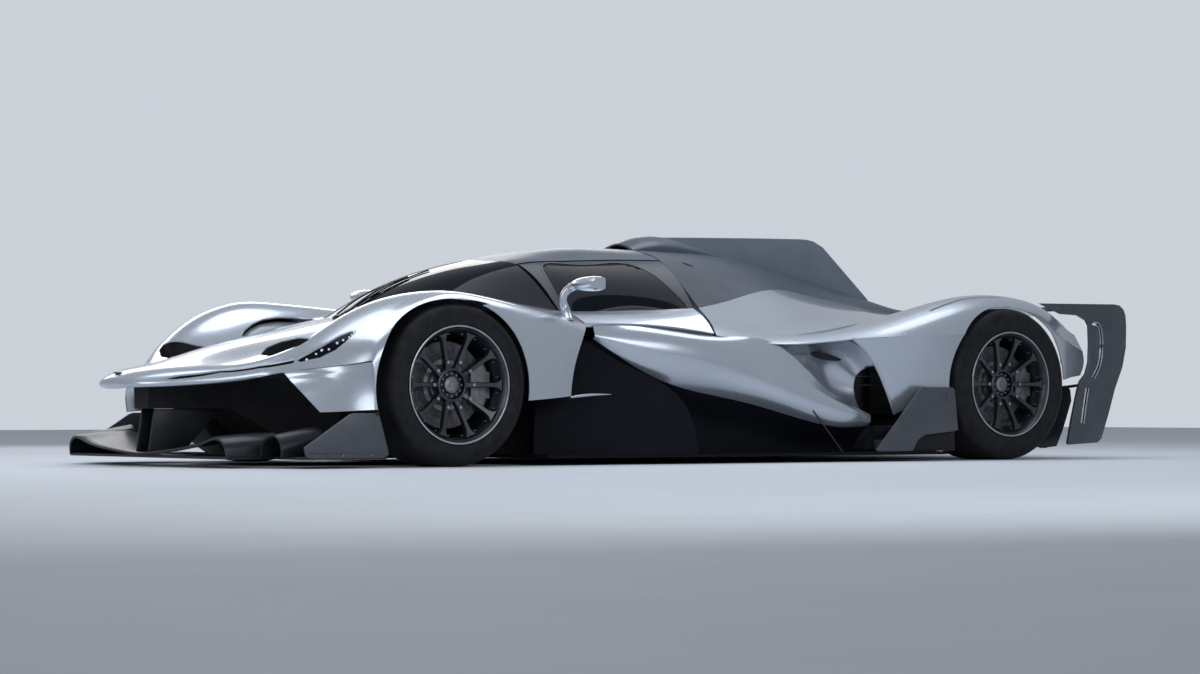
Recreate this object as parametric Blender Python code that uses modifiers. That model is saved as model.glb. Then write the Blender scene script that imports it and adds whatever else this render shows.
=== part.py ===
# Closed-cockpit track hypercar with a roof scoop, shark fin and covered rear.
# Metres, +Z up, nose towards -X, the car's left side at -Y, ground at z = 0.
# The origin lies on the ground, at the middle of the length and the width.

import math

import bmesh
import bpy
import numpy as np
from mathutils import Matrix, Vector

for old in list(bpy.data.objects):
    bpy.data.objects.remove(old, do_unlink=True)

# Driving dimensions
WHEELBASE = 3.08
NOSE_OVERHANG = 1.117
TAIL_OVERHANG = 0.763
FRONT_TYRE_RADIUS = 0.337
REAR_TYRE_RADIUS = 0.354
FRONT_TYRE_WIDTH = 0.300
REAR_TYRE_WIDTH = 0.330
RIM_FACE_Y = 0.955
RIM_EDGE_RADIUS = 0.246
BEAD_RADIUS = 0.229
RIM_WALL = 0.014
SPOKE_COUNT = 10
SPOKE_WIDTH = 0.022
HUB_RECESS = 0.054
HUB_RADIUS = 0.062
DISC_RADIUS = 0.180
DISC_THICKNESS = 0.030
DISC_Y = 0.830
BELL_RADIUS = 0.085
KINGPIN_Y = 0.740
STEER_ANGLE = 14.0
FENDER_COVER = 0.055
REAR_FENDER_COVER = 0.065
FRONT_ARCH_RADIUS = 0.375
REAR_ARCH_RADIUS = 0.372
TYRE_CLEARANCE = 0.012
GROUND_CLEARANCE = 0.030
FLOOR_THICKNESS = 0.014
FLOOR_HALF_WIDTH = 0.960
FLOOR_WAIST = 0.560
SKIN = 0.005
GLASS = 0.005
DOOR_THICKNESS = 0.022
ROOF_THICKNESS = 0.020
TUB_WALL = 0.035
PLATE = 0.010
SHUT_GAP = 0.005
SEAT_GAP = 0.0003
PANEL_GAP = 0.0008
SEAT_Y = 0.250
FIN_THICKNESS = 0.014
WING_HALF_SPAN = 0.940
ENDPLATE_THICKNESS = 0.018

# Stations that follow from the driving dimensions
FRONT = -(WHEELBASE + TAIL_OVERHANG - NOSE_OVERHANG) / 2
REAR = FRONT + WHEELBASE
FRONT_CROWN = 2 * FRONT_TYRE_RADIUS + FENDER_COVER
REAR_CROWN = 2 * REAR_TYRE_RADIUS + REAR_FENDER_COVER
FLOOR_TOP = GROUND_CLEARANCE + FLOOR_THICKNESS

car = bpy.data.collections.new("hypercar")
cutters = bpy.data.collections.new("cutters")
bpy.context.scene.collection.children.link(car)
bpy.context.scene.collection.children.link(cutters)


# Materials: red, green, blue, roughness, metallic
FINISHES = {
    "silver_paint": (0.62, 0.66, 0.72, 0.28, 0.55),
    "satin_carbon": (0.060, 0.072, 0.090, 0.42, 0.10),
    "dark_carbon": (0.018, 0.021, 0.028, 0.45, 0.10),
    "dark_glass": (0.010, 0.013, 0.018, 0.05, 0.00),
    "tyre_rubber": (0.012, 0.012, 0.013, 0.75, 0.00),
    "gunmetal": (0.055, 0.060, 0.070, 0.35, 0.90),
    "disc_carbon": (0.050, 0.050, 0.055, 0.55, 0.40),
    "cast_grey": (0.140, 0.145, 0.155, 0.50, 0.80),
    "suede_black": (0.015, 0.015, 0.017, 0.90, 0.00),
    "lamp_clear": (0.550, 0.600, 0.660, 0.10, 0.10),
    "lamp_red": (0.300, 0.010, 0.010, 0.20, 0.00),
}


def material(name):
    found = bpy.data.materials.get(name)
    if found:
        return found
    red, green, blue, roughness, metallic = FINISHES[name]
    made = bpy.data.materials.new(name)
    made.use_nodes = True
    shader = made.node_tree.nodes["Principled BSDF"]
    shader.inputs["Base Color"].default_value = (red, green, blue, 1.0)
    shader.inputs["Roughness"].default_value = roughness
    shader.inputs["Metallic"].default_value = metallic
    return made


def add_object(name, mesh, finish, group=None):
    made = bpy.data.objects.new(name, mesh)
    (group or car).objects.link(made)
    if finish and not mesh.materials:
        mesh.materials.append(material(finish))
    return made


def as_cutter(shape):
    for group in list(shape.users_collection):
        group.objects.unlink(shape)
    cutters.objects.link(shape)
    shape.hide_render = True
    shape.display_type = "WIRE"
    return shape


def boolean(target, tool, operation):
    step = target.modifiers.new(operation.lower(), "BOOLEAN")
    step.operation = operation
    step.solver = "EXACT"
    step.object = tool
    return step


def cut(target, *tools):
    for tool in tools:
        boolean(target, tool, "DIFFERENCE")


def fuse(target, *tools):
    for tool in tools:
        boolean(target, tool, "UNION")


# Points of a table, measured from the front axle or from the rear axle
def from_front(x, y, z):
    return Vector((FRONT + x, y, z))


def from_rear(x, y, z):
    return Vector((REAR + x, y, z))


# Weights of the natural cubic spline through the knots, read at the given places
def spline_weights(knots, places):
    count = len(knots)
    gaps = np.diff(knots)
    system = np.eye(count)
    slopes = np.zeros((count, count))
    for k in range(1, count - 1):
        system[k, k - 1:k + 2] = gaps[k - 1], 2 * (gaps[k - 1] + gaps[k]), gaps[k]
        slopes[k, k - 1:k + 2] = 6 / gaps[k - 1], -6 / gaps[k - 1] - 6 / gaps[k], 6 / gaps[k]
    curvature = np.linalg.solve(system, slopes)
    weights = []
    for place in places:
        k = min(max(int(np.searchsorted(knots, place)) - 1, 0), count - 2)
        after = (place - knots[k]) / gaps[k]
        before = 1 - after
        row = np.zeros(count)
        row[k] += before
        row[k + 1] += after
        row += (before ** 3 - before) * gaps[k] ** 2 / 6 * curvature[k]
        row += (after ** 3 - after) * gaps[k] ** 2 / 6 * curvature[k + 1]
        weights.append(row)
    return np.array(weights)


def mean_knots(table):
    steps = np.linalg.norm(np.diff(table, axis=1), axis=2).mean(axis=0)
    return np.concatenate([[0], np.cumsum(steps)])


def places_between(knots, steps):
    spread = [np.linspace(a, b, steps, endpoint=False) for a, b in zip(knots, knots[1:])]
    return np.concatenate(spread + [[knots[-1]]])


# A smooth surface through a table of rows that run front to rear. Every gap between
# rows is divided into across steps, and every gap between columns into along steps.
def surface(table, across, along, back=None):
    table = np.array([[tuple(point) for point in row] for row in table])
    down = mean_knots(table.transpose(1, 0, 2))
    back = mean_knots(table) if back is None else back
    row_weights = spline_weights(down, places_between(down, across))
    column_weights = spline_weights(back, places_between(back, along))
    return np.einsum("ia,jb,abk->ijk", row_weights, column_weights, table)


# Draws edges of a grid back by half the gap between two panels
def draw_back(grid, edges, gap):
    sides = {
        "top": (grid[0], grid[1]),
        "bottom": (grid[-1], grid[-2]),
        "front": (grid[:, 0], grid[:, 1]),
        "rear": (grid[:, -1], grid[:, -2]),
    }
    for name in edges:
        edge, inner = sides[name]
        inward = inner - edge
        edge += gap / 2 * inward / np.linalg.norm(inward, axis=1, keepdims=True)


def grid_mesh(name, grids, side):
    form = bmesh.new()
    for grid in grids:
        rows, columns = grid.shape[:2]
        points = [[form.verts.new((x, y * side, z)) for x, y, z in row] for row in grid]
        for i in range(rows - 1):
            for j in range(columns - 1):
                corners = [points[i][j], points[i][j + 1], points[i + 1][j + 1], points[i + 1][j]]
                for triangle in (corners[:3], [corners[0]] + corners[2:]):
                    form.faces.new(triangle if side > 0 else triangle[::-1])
    bmesh.ops.remove_doubles(form, verts=form.verts, dist=0.00005)
    mesh = bpy.data.meshes.new(name)
    form.to_mesh(mesh)
    form.free()
    mesh.shade_smooth()
    return mesh


def solidify(shape, thickness, offset=-1.0):
    wall = shape.modifiers.new("wall", "SOLIDIFY")
    wall.thickness = thickness
    wall.offset = offset


def mirror_y(shape):
    halves = shape.modifiers.new("both_sides", "MIRROR")
    halves.use_axis = (False, True, False)
    halves.use_clip = True
    halves.merge_threshold = 0.0001


# A curved panel: one half with its mirror image when side is 0
def panel(name, grids, thickness, finish, side=0, group=None):
    mesh = grid_mesh(name, grids, side or 1)
    shape = add_object(name, mesh, finish, group)
    if side == 0:
        mirror_y(shape)
    solidify(shape, thickness)
    return shape


# The room that a panel and the space behind it take, with the seat gap in front
def room_behind(name, grid, depth, side=0):
    shape = panel(name, [grid], depth, None, side)
    wall = shape.modifiers["wall"]
    wall.thickness = depth + SEAT_GAP
    wall.offset = 2 * SEAT_GAP / wall.thickness - 1
    return as_cutter(shape)


# The room above a panel's inner face, down to the given gap below it
def room_above(name, grid, wall, gap, height, side=0):
    shape = panel(name, [grid], wall + gap + height, None, side)
    shape.modifiers["wall"].offset = 1 - 2 * (wall + gap) / (wall + gap + height)
    return as_cutter(shape)


# A flat plate from an outline, extruded along the axis that the outline leaves out
def plate(name, outline, thickness, finish, plane="XZ", at=0.0, group=None):
    curve = bpy.data.curves.new(name, "CURVE")
    curve.dimensions = "2D"
    curve.fill_mode = "BOTH"
    curve.extrude = thickness / 2
    line = curve.splines.new("POLY")
    line.points.add(len(outline) - 1)
    for point, (a, b) in zip(line.points, outline):
        point.co = (a, b, 0, 1)
    line.use_cyclic_u = True
    shape = add_object(name + "_outline", curve, None)
    if plane == "XZ":
        shape.matrix_world = Matrix.Translation((0, at, 0)) @ Matrix.Rotation(math.pi / 2, 4, "X")
    elif plane == "XY":
        shape.matrix_world = Matrix.Translation((0, 0, at))
    else:
        turn = Matrix(((0, 0, 1, 0), (1, 0, 0, 0), (0, 1, 0, 0), (0, 0, 0, 1)))
        shape.matrix_world = Matrix.Translation((at, 0, 0)) @ turn
    return curve_to_mesh(shape, name, finish, group)


def curve_to_mesh(shape, name, finish, group=None):
    bpy.context.view_layer.update()
    evaluated = shape.evaluated_get(bpy.context.evaluated_depsgraph_get())
    mesh = bpy.data.meshes.new_from_object(evaluated)
    form = bmesh.new()
    form.from_mesh(mesh)
    bmesh.ops.remove_doubles(form, verts=form.verts, dist=0.00001)
    form.to_mesh(mesh)
    form.free()
    mesh.materials.clear()
    made = add_object(name, mesh, finish, group)
    made.matrix_world = shape.matrix_world
    bpy.data.objects.remove(shape, do_unlink=True)
    return made


def box(name, low, high, finish, group=None):
    form = bmesh.new()
    bmesh.ops.create_cube(form, size=1.0)
    middle = (Vector(low) + Vector(high)) / 2
    size = Vector(high) - Vector(low)
    bmesh.ops.scale(form, vec=size, verts=form.verts)
    mesh = bpy.data.meshes.new(name)
    form.to_mesh(mesh)
    form.free()
    made = add_object(name, mesh, finish, group)
    made.location = middle
    return made


def rod(name, start, end, radius, finish, sides=8, group=None, end_radius=None):
    start = Vector(start)
    end = Vector(end)
    form = bmesh.new()
    bmesh.ops.create_cone(form, cap_ends=True, segments=sides, radius1=radius,
                          radius2=end_radius or radius, depth=(end - start).length)
    mesh = bpy.data.meshes.new(name)
    form.to_mesh(mesh)
    form.free()
    made = add_object(name, mesh, finish, group)
    made.rotation_mode = "QUATERNION"
    made.rotation_quaternion = (end - start).to_track_quat("Z", "Y")
    made.location = (start + end) / 2
    return made


# A turned solid about the Y axis; profile pairs are radius and distance outward
def turned(name, profile, centre, side, finish, steps, closed=True, group=None):
    mesh = bpy.data.meshes.new(name)
    points = [(radius, 0, out) for radius, out in profile]
    count = len(points)
    edges = [(k, (k + 1) % count) for k in range(count if closed else count - 1)]
    mesh.from_pydata(points, edges, [])
    shape = add_object(name, mesh, finish, group)
    turn = shape.modifiers.new("turn", "SCREW")
    turn.axis = "Z"
    turn.steps = steps
    turn.render_steps = steps
    turn.use_merge_vertices = True
    turn.merge_threshold = 0.00005
    turn.use_smooth_shade = True
    shape.location = centre
    shape.rotation_euler = (-side * math.pi / 2, 0, 0)
    return shape


# A loft between box sections: x, half width at foot, half width at top, foot, top
def section_loft(name, sections, finish, group=None, side_y=0.0):
    form = bmesh.new()
    rings = []
    for x, foot_half, top_half, foot, top in sections:
        corners = [(-foot_half, foot), (foot_half, foot), (top_half, top), (-top_half, top)]
        rings.append([form.verts.new((x, side_y + y, z)) for y, z in corners])
    for ring, following in zip(rings, rings[1:]):
        for k in range(4):
            after = (k + 1) % 4
            form.faces.new((ring[k], following[k], following[after], ring[after]))
    form.faces.new(rings[0])
    form.faces.new(rings[-1][::-1])
    bmesh.ops.recalc_face_normals(form, faces=form.faces)
    mesh = bpy.data.meshes.new(name)
    form.to_mesh(mesh)
    form.free()
    return add_object(name, mesh, finish, group)


SIDES = (("left", -1), ("right", 1))

# Front body skin. Rows run from the lip of the nose back to the windscreen and the door;
# columns: lip, brow, bonnet, rise, slope, crest, end.
FRONT_ROWS = [
    # centre line
    [(-1.117, 0, .356), (-1.075, 0, .382), (-.90, 0, .427), (-.62, 0, .500),
     (-.36, 0, .558), (-.15, 0, .602), (.014, 0, .635)],
    # ridge of the nose
    [(-1.085, .150, .345), (-1.040, .150, .378), (-.87, .150, .425), (-.60, .150, .498),
     (-.34, .165, .556), (-.13, .180, .600), (.046, .185, .640)],
    # bonnet vent
    [(-.935, .300, .344), (-.905, .300, .378), (-.78, .300, .424), (-.55, .310, .480),
     (-.31, .330, .536), (-.07, .345, .590), (.140, .350, .642)],
    # valley
    [(-.800, .430, .356), (-.772, .430, .393), (-.66, .435, .440), (-.46, .445, .500),
     (-.25, .455, .556), (.02, .465, .612), (.290, .458, .649)],
    # inner flank
    [(-.690, .560, .376), (-.662, .560, .418), (-.565, .562, .490), (-.40, .565, .570),
     (-.22, .570, .628), (.06, .570, .656), (.470, .520, .658)],
]
# The fender rows; heights are measured down from the crown of the fender.
FENDER_ROWS = [
    # inner crown
    [(-.622, .665, -.337), (-.594, .665, -.290), (-.500, .665, -.190), (-.34, .665, -.086),
     (-.17, .668, -.027), (.05, .668, -.016), (.742, .592, -.067)],
    # crown
    [(-.568, .755, -.326), (-.540, .755, -.275), (-.440, .765, -.172), (-.28, .785, -.070),
     (-.12, .800, -.016), (.05, .795, -.003), (.742, .700, -.087)],
    # outer crown
    [(-.507, .850, -.316), (-.476, .850, -.262), (-.385, .860, -.170), (-.24, .872, -.077),
     (-.10, .880, -.024), (.06, .875, -.010), (.742, .790, -.124)],
    # shoulder
    [(-.447, .925, -.302), (-.420, .928, -.250), (-.335, .932, -.175), (-.215, .938, -.098),
     (-.08, .943, -.050), (.10, .938, -.046), (.703, .850, -.163)],
    # side face
    [(-.420, .960, -.310), (-.395, .962, -.300), (-.320, .966, -.280), (-.20, .970, -.260),
     (-.05, .972, -.250), (.22, .960, -.255), (.648, .866, -.280)],
    # lower edge
    [(-.412, .966, -.494), (-.392, .968, -.494), (-.320, .971, -.494), (-.20, .974, -.490),
     (-.05, .975, -.480), (.25, .962, -.462), (.609, .880, -.420)],
]
# The cheek ahead of the front wheel. Columns: duct edge, fore, aft, arch edge.
CHEEK_ROWS = [
    [(-.650, .640, -.346), (-.570, .755, -.334), (-.507, .848, -.324), (-.400, .950, -.305)],
    [(-.652, .735, -.395), (-.582, .810, -.395), (-.505, .882, -.398), (-.400, .955, -.400)],
    [(-.597, .842, -.504), (-.545, .885, -.502), (-.485, .925, -.498), (-.396, .964, -.494)],
]

# Openings in the front skin, in plan: x from the front axle, y
BONNET_VENT = [(-.620, .372), (-.560, .375), (-.470, .388), (-.400, .412), (-.350, .452),
               (-.420, .462), (-.500, .450), (-.570, .418)]
FENDER_VENT = [(-.270, .500), (-.150, .560), (-.020, .585), (.130, .565), (.180, .515),
               (.040, .490), (-.130, .478)]
LAMP_SLOT = [(-.582, .708), (-.548, .762), (-.505, .803), (-.430, .842), (-.415, .826),
             (-.480, .785), (-.530, .742), (-.560, .698)]
LAMP_GLASS = 0.006
SCREEN_EDGE_ROWS = 10
FENDER_GRID_ROW = 8
SCREEN_LAP = 0.018
SCREEN_ROOM = 0.050


def front_table(rows):
    return [[from_front(*point) for point in row] for row in rows]


def fender_table(rows):
    return [[from_front(x, y, FRONT_CROWN + drop) for x, y, drop in row] for row in rows]


FRONT_ARCH = from_front(-.035, 0, FRONT_TYRE_RADIUS - .022)
REAR_ARCH = from_rear(-.020, 0, REAR_TYRE_RADIUS - .008)
ARCH_INNER_Y = 0.900
ARCH_OUTER_Y = 1.200


def arch_cutter(name, centre, radius, side):
    inner = Vector((centre.x, side * ARCH_INNER_Y, centre.z))
    outer = Vector((centre.x, side * ARCH_OUTER_Y, centre.z))
    return as_cutter(rod(name, inner, outer, radius, None, sides=36))


# The room a tyre needs, turned about the kingpin by the given angle
def tyre_room(name, x, radius, width, side, angle):
    inner = -(KINGPIN_Y - (RIM_FACE_Y - width) + TYRE_CLEARANCE)
    outer = RIM_FACE_Y - KINGPIN_Y + TYRE_CLEARANCE
    turn = Matrix.Rotation(math.radians(angle), 3, "Z")
    kingpin = Vector((x, side * KINGPIN_Y, radius))
    start = kingpin + turn @ Vector((0, side * inner, 0))
    end = kingpin + turn @ Vector((0, side * outer, 0))
    return as_cutter(rod(name, start, end, radius + TYRE_CLEARANCE, None, sides=28))


# An outline whose every edge is moved inwards by the given distance
def inset_outline(outline, inset):
    points = [Vector(point) for point in outline]
    count = len(points)
    area = sum(points[k - 1].cross(points[k]) for k in range(count))
    turn = math.copysign(inset, area)
    drawn = []
    for k in range(count):
        before = (points[k] - points[k - 1]).normalized()
        after = (points[(k + 1) % count] - points[k]).normalized()
        mitre = Vector((-before.y - after.y, before.x + after.x)).normalized()
        reach = turn / mitre.dot(Vector((-before.y, before.x)))
        drawn.append(tuple(points[k] + mitre * reach))
    return drawn


# A cutter that stands upright over an outline given in plan
def plan_prism(name, outline, side, inset=0.0):
    drawn = [(FRONT + x, side * y) for x, y in inset_outline(outline, inset)]
    return as_cutter(plate(name, drawn if side > 0 else drawn[::-1], 1.0, None, "XY", FRONT_CROWN))


def front_surface():
    return surface(front_table(FRONT_ROWS) + fender_table(FENDER_ROWS), 2, 2)


def front_clamshell():
    skin_grid = front_surface()
    draw_back(skin_grid[:SCREEN_EDGE_ROWS], ["rear"], -2 * SCREEN_LAP)
    shape = panel("front_clamshell", [skin_grid], SKIN, "silver_paint")
    cheek_grid = surface(fender_table(CHEEK_ROWS), 2, 2)
    for label, side in SIDES:
        cheek = as_cutter(panel("cheek_" + label, [cheek_grid], SKIN, None, side))
        fuse(shape, cheek)
        cut(shape, arch_cutter("front_arch_" + label, FRONT_ARCH, FRONT_ARCH_RADIUS, side))
        for tag, angle in (("in", -STEER_ANGLE), ("ahead", 0), ("out", STEER_ANGLE)):
            room = tyre_room("front_room_" + label + "_" + tag, FRONT, FRONT_TYRE_RADIUS,
                             FRONT_TYRE_WIDTH, side, angle)
            cut(shape, room)
        for tag, outline in (("bonnet_vent_", BONNET_VENT), ("fender_vent_", FENDER_VENT),
                             ("lamp_slot_", LAMP_SLOT)):
            cut(shape, plan_prism(tag + label, outline, side))
        cut(shape, door_room(label, side))
    cut(shape, screen_room())
    return shape


def headlamp(label, side):
    shape = panel("headlamp_" + label, [front_surface()], LAMP_GLASS, "lamp_clear", side)
    boolean(shape, plan_prism("lamp_room_" + label, LAMP_SLOT, side, SEAT_GAP * 2), "INTERSECT")
    return shape


# Canopy. Rows run from the windscreen base to the rear of the doors;
# columns: base, low screen, mid screen, door front, fore, mid, rear.
CANOPY_ROWS = [
    # centre line
    [(-.020, 0, .616), (.20, 0, .748), (.41, 0, .834), (.66, 0, .902),
     (.90, 0, .947), (1.12, 0, .968), (1.415, 0, .972)],
    # brow
    [(.012, .195, .620), (.215, .175, .741), (.42, .175, .826), (.67, .180, .894),
     (.90, .190, .939), (1.12, .205, .960), (1.415, .220, .960)],
    # roof rail
    [(.115, .376, .628), (.290, .340, .722), (.465, .325, .797), (.70, .336, .873),
     (.90, .363, .891), (1.12, .392, .9005), (1.415, .430, .906)],
    # middle of the glass
    [(.270, .484, .636), (.405, .455, .702), (.550, .450, .752), (.725, .475, .786),
     (.90, .512, .800), (1.12, .548, .806), (1.415, .590, .800)],
    # belt
    [(.445, .552, .642), (.535, .565, .648), (.625, .582, .654), (.742, .600, .660),
     (.90, .628, .663), (1.12, .662, .670), (1.405, .700, .684)],
]
# The door below its belt; columns: door front, fore, mid, rear.
SILL_ROWS = [
    CANOPY_ROWS[-1][3:],
    [(.742, .700, .642), (.90, .722, .642), (1.12, .760, .640), (1.395, .805, .630)],
    [(.742, .790, .605), (.90, .806, .605), (1.12, .840, .598), (1.385, .878, .565)],
]
DOOR_COLUMN = 3
RAIL_ROW = 2
CANOPY_STEPS = 2
# Side window outline in side view: x from the front axle, z
WINDOW = [(.780, .680), (.775, .790), (.790, .856), (.950, .878), (1.120, .887),
          (1.235, .882), (1.300, .840), (1.345, .760), (1.372, .702), (1.100, .690)]


def canopy_surface():
    return surface(front_table(CANOPY_ROWS), CANOPY_STEPS, CANOPY_STEPS)


# The windscreen's base runs on under the front body
def screen_grid():
    grid = canopy_surface()[:, :DOOR_COLUMN * CANOPY_STEPS + 1]
    draw_back(grid, ["front"], -2 * SCREEN_LAP)
    return grid


# The windscreen's space and the room behind it
def screen_room():
    found = bpy.data.objects.get("screen_room")
    return found or room_behind("screen_room", screen_grid(), SCREEN_ROOM)


def windscreen():
    grid = screen_grid()
    draw_back(grid, ["rear"], PANEL_GAP)
    draw_back(grid, ["bottom"], 2 * PANEL_GAP)
    shape = panel("windscreen", [grid], GLASS, "dark_glass")
    for label, side in SIDES:
        cut(shape, door_room(label, side))
    return shape


# The door's space in its opening, widened by the shut gap
def door_room(label, side):
    name = "door_room_" + label
    found = bpy.data.objects.get(name)
    if found:
        return found
    belt_x = FRONT + .742 - SHUT_GAP
    rail_x = FRONT + .679 - SHUT_GAP
    outline = [(belt_x, .30), (belt_x, .66), (rail_x, .98), (FRONT + 1.60, .98), (FRONT + 1.60, .30)]
    return as_cutter(plate(name, outline, .90, None, "XZ", side * .785))


def roof_grid():
    return canopy_surface()[:RAIL_ROW * CANOPY_STEPS + 1, DOOR_COLUMN * CANOPY_STEPS:]


def roof():
    grid = roof_grid()
    draw_back(grid, ["rear"], PANEL_GAP)
    draw_back(grid, ["bottom"], HINGE_SHUT_GAP)
    shape = panel("roof", [grid], ROOF_THICKNESS, "satin_carbon")
    cut(shape, screen_room())
    for label, side in SIDES:
        for k, place in enumerate(HINGE_PLACES):
            start, middle, end = hinge_points(place, side)
            cut(shape, as_cutter(rod("roof_notch_%s_%d" % (label, k), start, end, HINGE_ROOM, None, 12)))
            barrel = rod("roof_barrel_%s_%d" % (label, k), middle, end, HINGE_RADIUS, None, 12)
            leaf = hinge_leaf("roof_leaf_%s_%d" % (label, k), middle, end, -side, ROOF_LEAF_RISE)
            fuse(shape, as_cutter(barrel), leaf)
    return shape


HINGE_FRONT = from_front(.840, .3545, .8905)
HINGE_REAR = from_front(1.290, .4145, .9085)
HINGE_PLACES = (.02, .80)
HINGE_RADIUS = 0.007
HINGE_ROOM = 0.010
HINGE_LENGTH = 0.040
HINGE_LEAF = 0.024
HINGE_LEAF_DEPTH = 0.005
HINGE_LEAF_INSET = 0.004
HINGE_SHUT_GAP = 0.008
DOOR_LEAF_FALL = -0.80
ROOF_LEAF_RISE = 0.35


# The points where a hinge begins, changes from door to roof and ends
def hinge_points(place, side):
    front = Vector((HINGE_FRONT.x, side * HINGE_FRONT.y, HINGE_FRONT.z))
    rear = Vector((HINGE_REAR.x, side * HINGE_REAR.y, HINGE_REAR.z))
    along = (rear - front).normalized()
    start = front.lerp(rear, place)
    return start, start + along * HINGE_LENGTH, start + along * HINGE_LENGTH * 2


# A flat leaf from a hinge barrel into the panel beside it
def hinge_leaf(name, start, end, towards, rise):
    along = (end - start).normalized()
    across = Vector((0, towards, rise)).normalized() * HINGE_LEAF
    depth = along.cross(across).normalized() * HINGE_LEAF_DEPTH
    depth = -depth if depth.z > 0 else depth
    form = bmesh.new()
    for base in (start + along * HINGE_LEAF_INSET, end - along * HINGE_LEAF_INSET):
        for corner in (base, base + across, base + depth, base + across + depth):
            form.verts.new(corner)
    bmesh.ops.convex_hull(form, input=form.verts)
    mesh = bpy.data.meshes.new(name)
    form.to_mesh(mesh)
    form.free()
    return as_cutter(add_object(name, mesh, None))


def window_prism(name, inset, side):
    outline = [(FRONT + x, z) for x, z in inset_outline(WINDOW, inset)]
    return as_cutter(plate(name, outline, .70, None, "XZ", side * .60))


def door_grids():
    upper = canopy_surface()[RAIL_ROW * CANOPY_STEPS:, DOOR_COLUMN * CANOPY_STEPS:]
    lower = surface(front_table(SILL_ROWS), 1, CANOPY_STEPS)
    upper[-1] = lower[0]
    draw_back(upper, ["top"], HINGE_SHUT_GAP)
    draw_back(upper, ["front", "rear"], SHUT_GAP)
    draw_back(lower, ["bottom", "front", "rear"], SHUT_GAP)
    upper[-1] = lower[0]
    return [upper, lower]


def door(label, side):
    grids = door_grids()
    shape = panel("door_" + label, grids, DOOR_THICKNESS, "silver_paint", side)
    cut(shape, window_prism("window_hole_" + label, 0, side))
    glass = panel("door_glass_" + label, [grids[0]], GLASS, "dark_glass", side)
    boolean(glass, window_prism("window_pane_" + label, SEAT_GAP * 2, side), "INTERSECT")
    pivot = Vector((HINGE_FRONT.x, side * HINGE_FRONT.y, HINGE_FRONT.z))
    for k, place in enumerate(HINGE_PLACES):
        start, middle, end = hinge_points(place, side)
        cut(shape, as_cutter(rod("door_notch_%s_%d" % (label, k), start, end, HINGE_ROOM, None, 12)))
        middle -= (middle - start).normalized() * SEAT_GAP
        barrel = as_cutter(rod("door_barrel_%s_%d" % (label, k), start, middle, HINGE_RADIUS, None, 12))
        fuse(shape, barrel, hinge_leaf("door_leaf_%s_%d" % (label, k), start, middle, side, DOOR_LEAF_FALL))
    for piece in (shape, glass):
        piece.data.transform(Matrix.Translation(-pivot))
        piece.location = pivot


# Places along the rear body, shared by its surfaces: distance from the rear axle
REAR_KNOTS = np.array([-1.67, -1.36, -.93, -.63, -.33, 0.0, .24, .42])
REAR_STEPS = 2
# Carbon spine over the engine. Rows from the centre out;
# columns: roof, fore, waist, run-up, climb, axle, fall, tail.
SPINE_ROWS = [
    # centre line
    [(-1.665, 0, .972), (-1.36, 0, .972), (-.93, 0, .951), (-.63, 0, .892),
     (-.33, 0, .828), (0.0, 0, .755), (.20, 0, .724), (.40, 0, .738)],
    # shoulder of the spine
    [(-1.665, .220, .960), (-1.36, .190, .949), (-.93, .145, .906), (-.63, .120, .850),
     (-.33, .090, .790), (0.0, .055, .728), (.20, .045, .722), (.40, .045, .738)],
    # flank of the spine
    [(-1.665, .430, .906), (-1.36, .350, .876), (-.93, .272, .828), (-.63, .200, .797),
     (-.33, .138, .755), (0.0, .080, .706), (.20, .070, .721), (.40, .070, .738)],
    # edge of the carbon
    [(-1.657, .705, .686), (-1.36, .560, .731), (-.93, .360, .794), (-.63, .255, .772),
     (-.33, .175, .738), (0.0, .100, .700), (.20, .090, .721), (.40, .090, .738)],
]
# Silver deck beside the spine, from the edge of the carbon outwards
DECK_ROWS = [
    SPINE_ROWS[-1],
    # deck
    [(-1.667, .760, .655), (-1.36, .700, .655), (-.93, .560, .700), (-.63, .460, .700),
     (-.33, .390, .692), (0.0, .340, .682), (.22, .330, .706), (.40, .330, .728)],
]
# Rear fender rows; heights are measured down from the crown of the rear fender.
REAR_FENDER_ROWS = [
    # inner flank
    [(-1.675, .815, -.155), (-1.36, .800, -.190), (-.93, .735, -.165), (-.63, .670, -.120),
     (-.33, .625, -.070), (0.0, .600, -.045), (.23, .600, -.062), (.41, .600, -.080)],
    # crown
    [(-1.685, .850, -.185), (-1.36, .850, -.215), (-.92, .840, -.180), (-.62, .825, -.120),
     (-.33, .815, -.044), (-.02, .820, 0.0), (.26, .830, -.036), (.44, .830, -.120)],
    # shoulder
    [(-1.692, .872, -.205), (-1.36, .880, -.232), (-.91, .895, -.198), (-.61, .905, -.150),
     (-.33, .912, -.092), (-.02, .918, -.050), (.28, .900, -.085), (.468, .872, -.190)],
    # crease
    [(-1.695, .884, -.213), (-1.37, .898, -.246), (-.907, .930, -.216), (-.60, .956, -.203),
     (-.36, .970, -.192), (-.02, .972, -.165), (.27, .945, -.170), (.500, .888, -.260)],
]
# The fender's side face below the crease. Columns: outlet edge, fore, arch, over, aft, tail.
REAR_SIDE_ROWS = [
    [(-.907, .930, -.216), (-.60, .956, -.203), (-.36, .970, -.192), (-.02, .972, -.165),
     (.27, .945, -.170), (.500, .888, -.260)],
    [(-.800, .905, -.330), (-.560, .940, -.330), (-.36, .962, -.330), (-.02, .972, -.330),
     (.30, .945, -.330), (.515, .880, -.320)],
    [(-.700, .890, -.520), (-.520, .935, -.500), (-.36, .960, -.460), (-.02, .970, -.430),
     (.34, .935, -.400), (.480, .890, -.375)],
]
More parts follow.
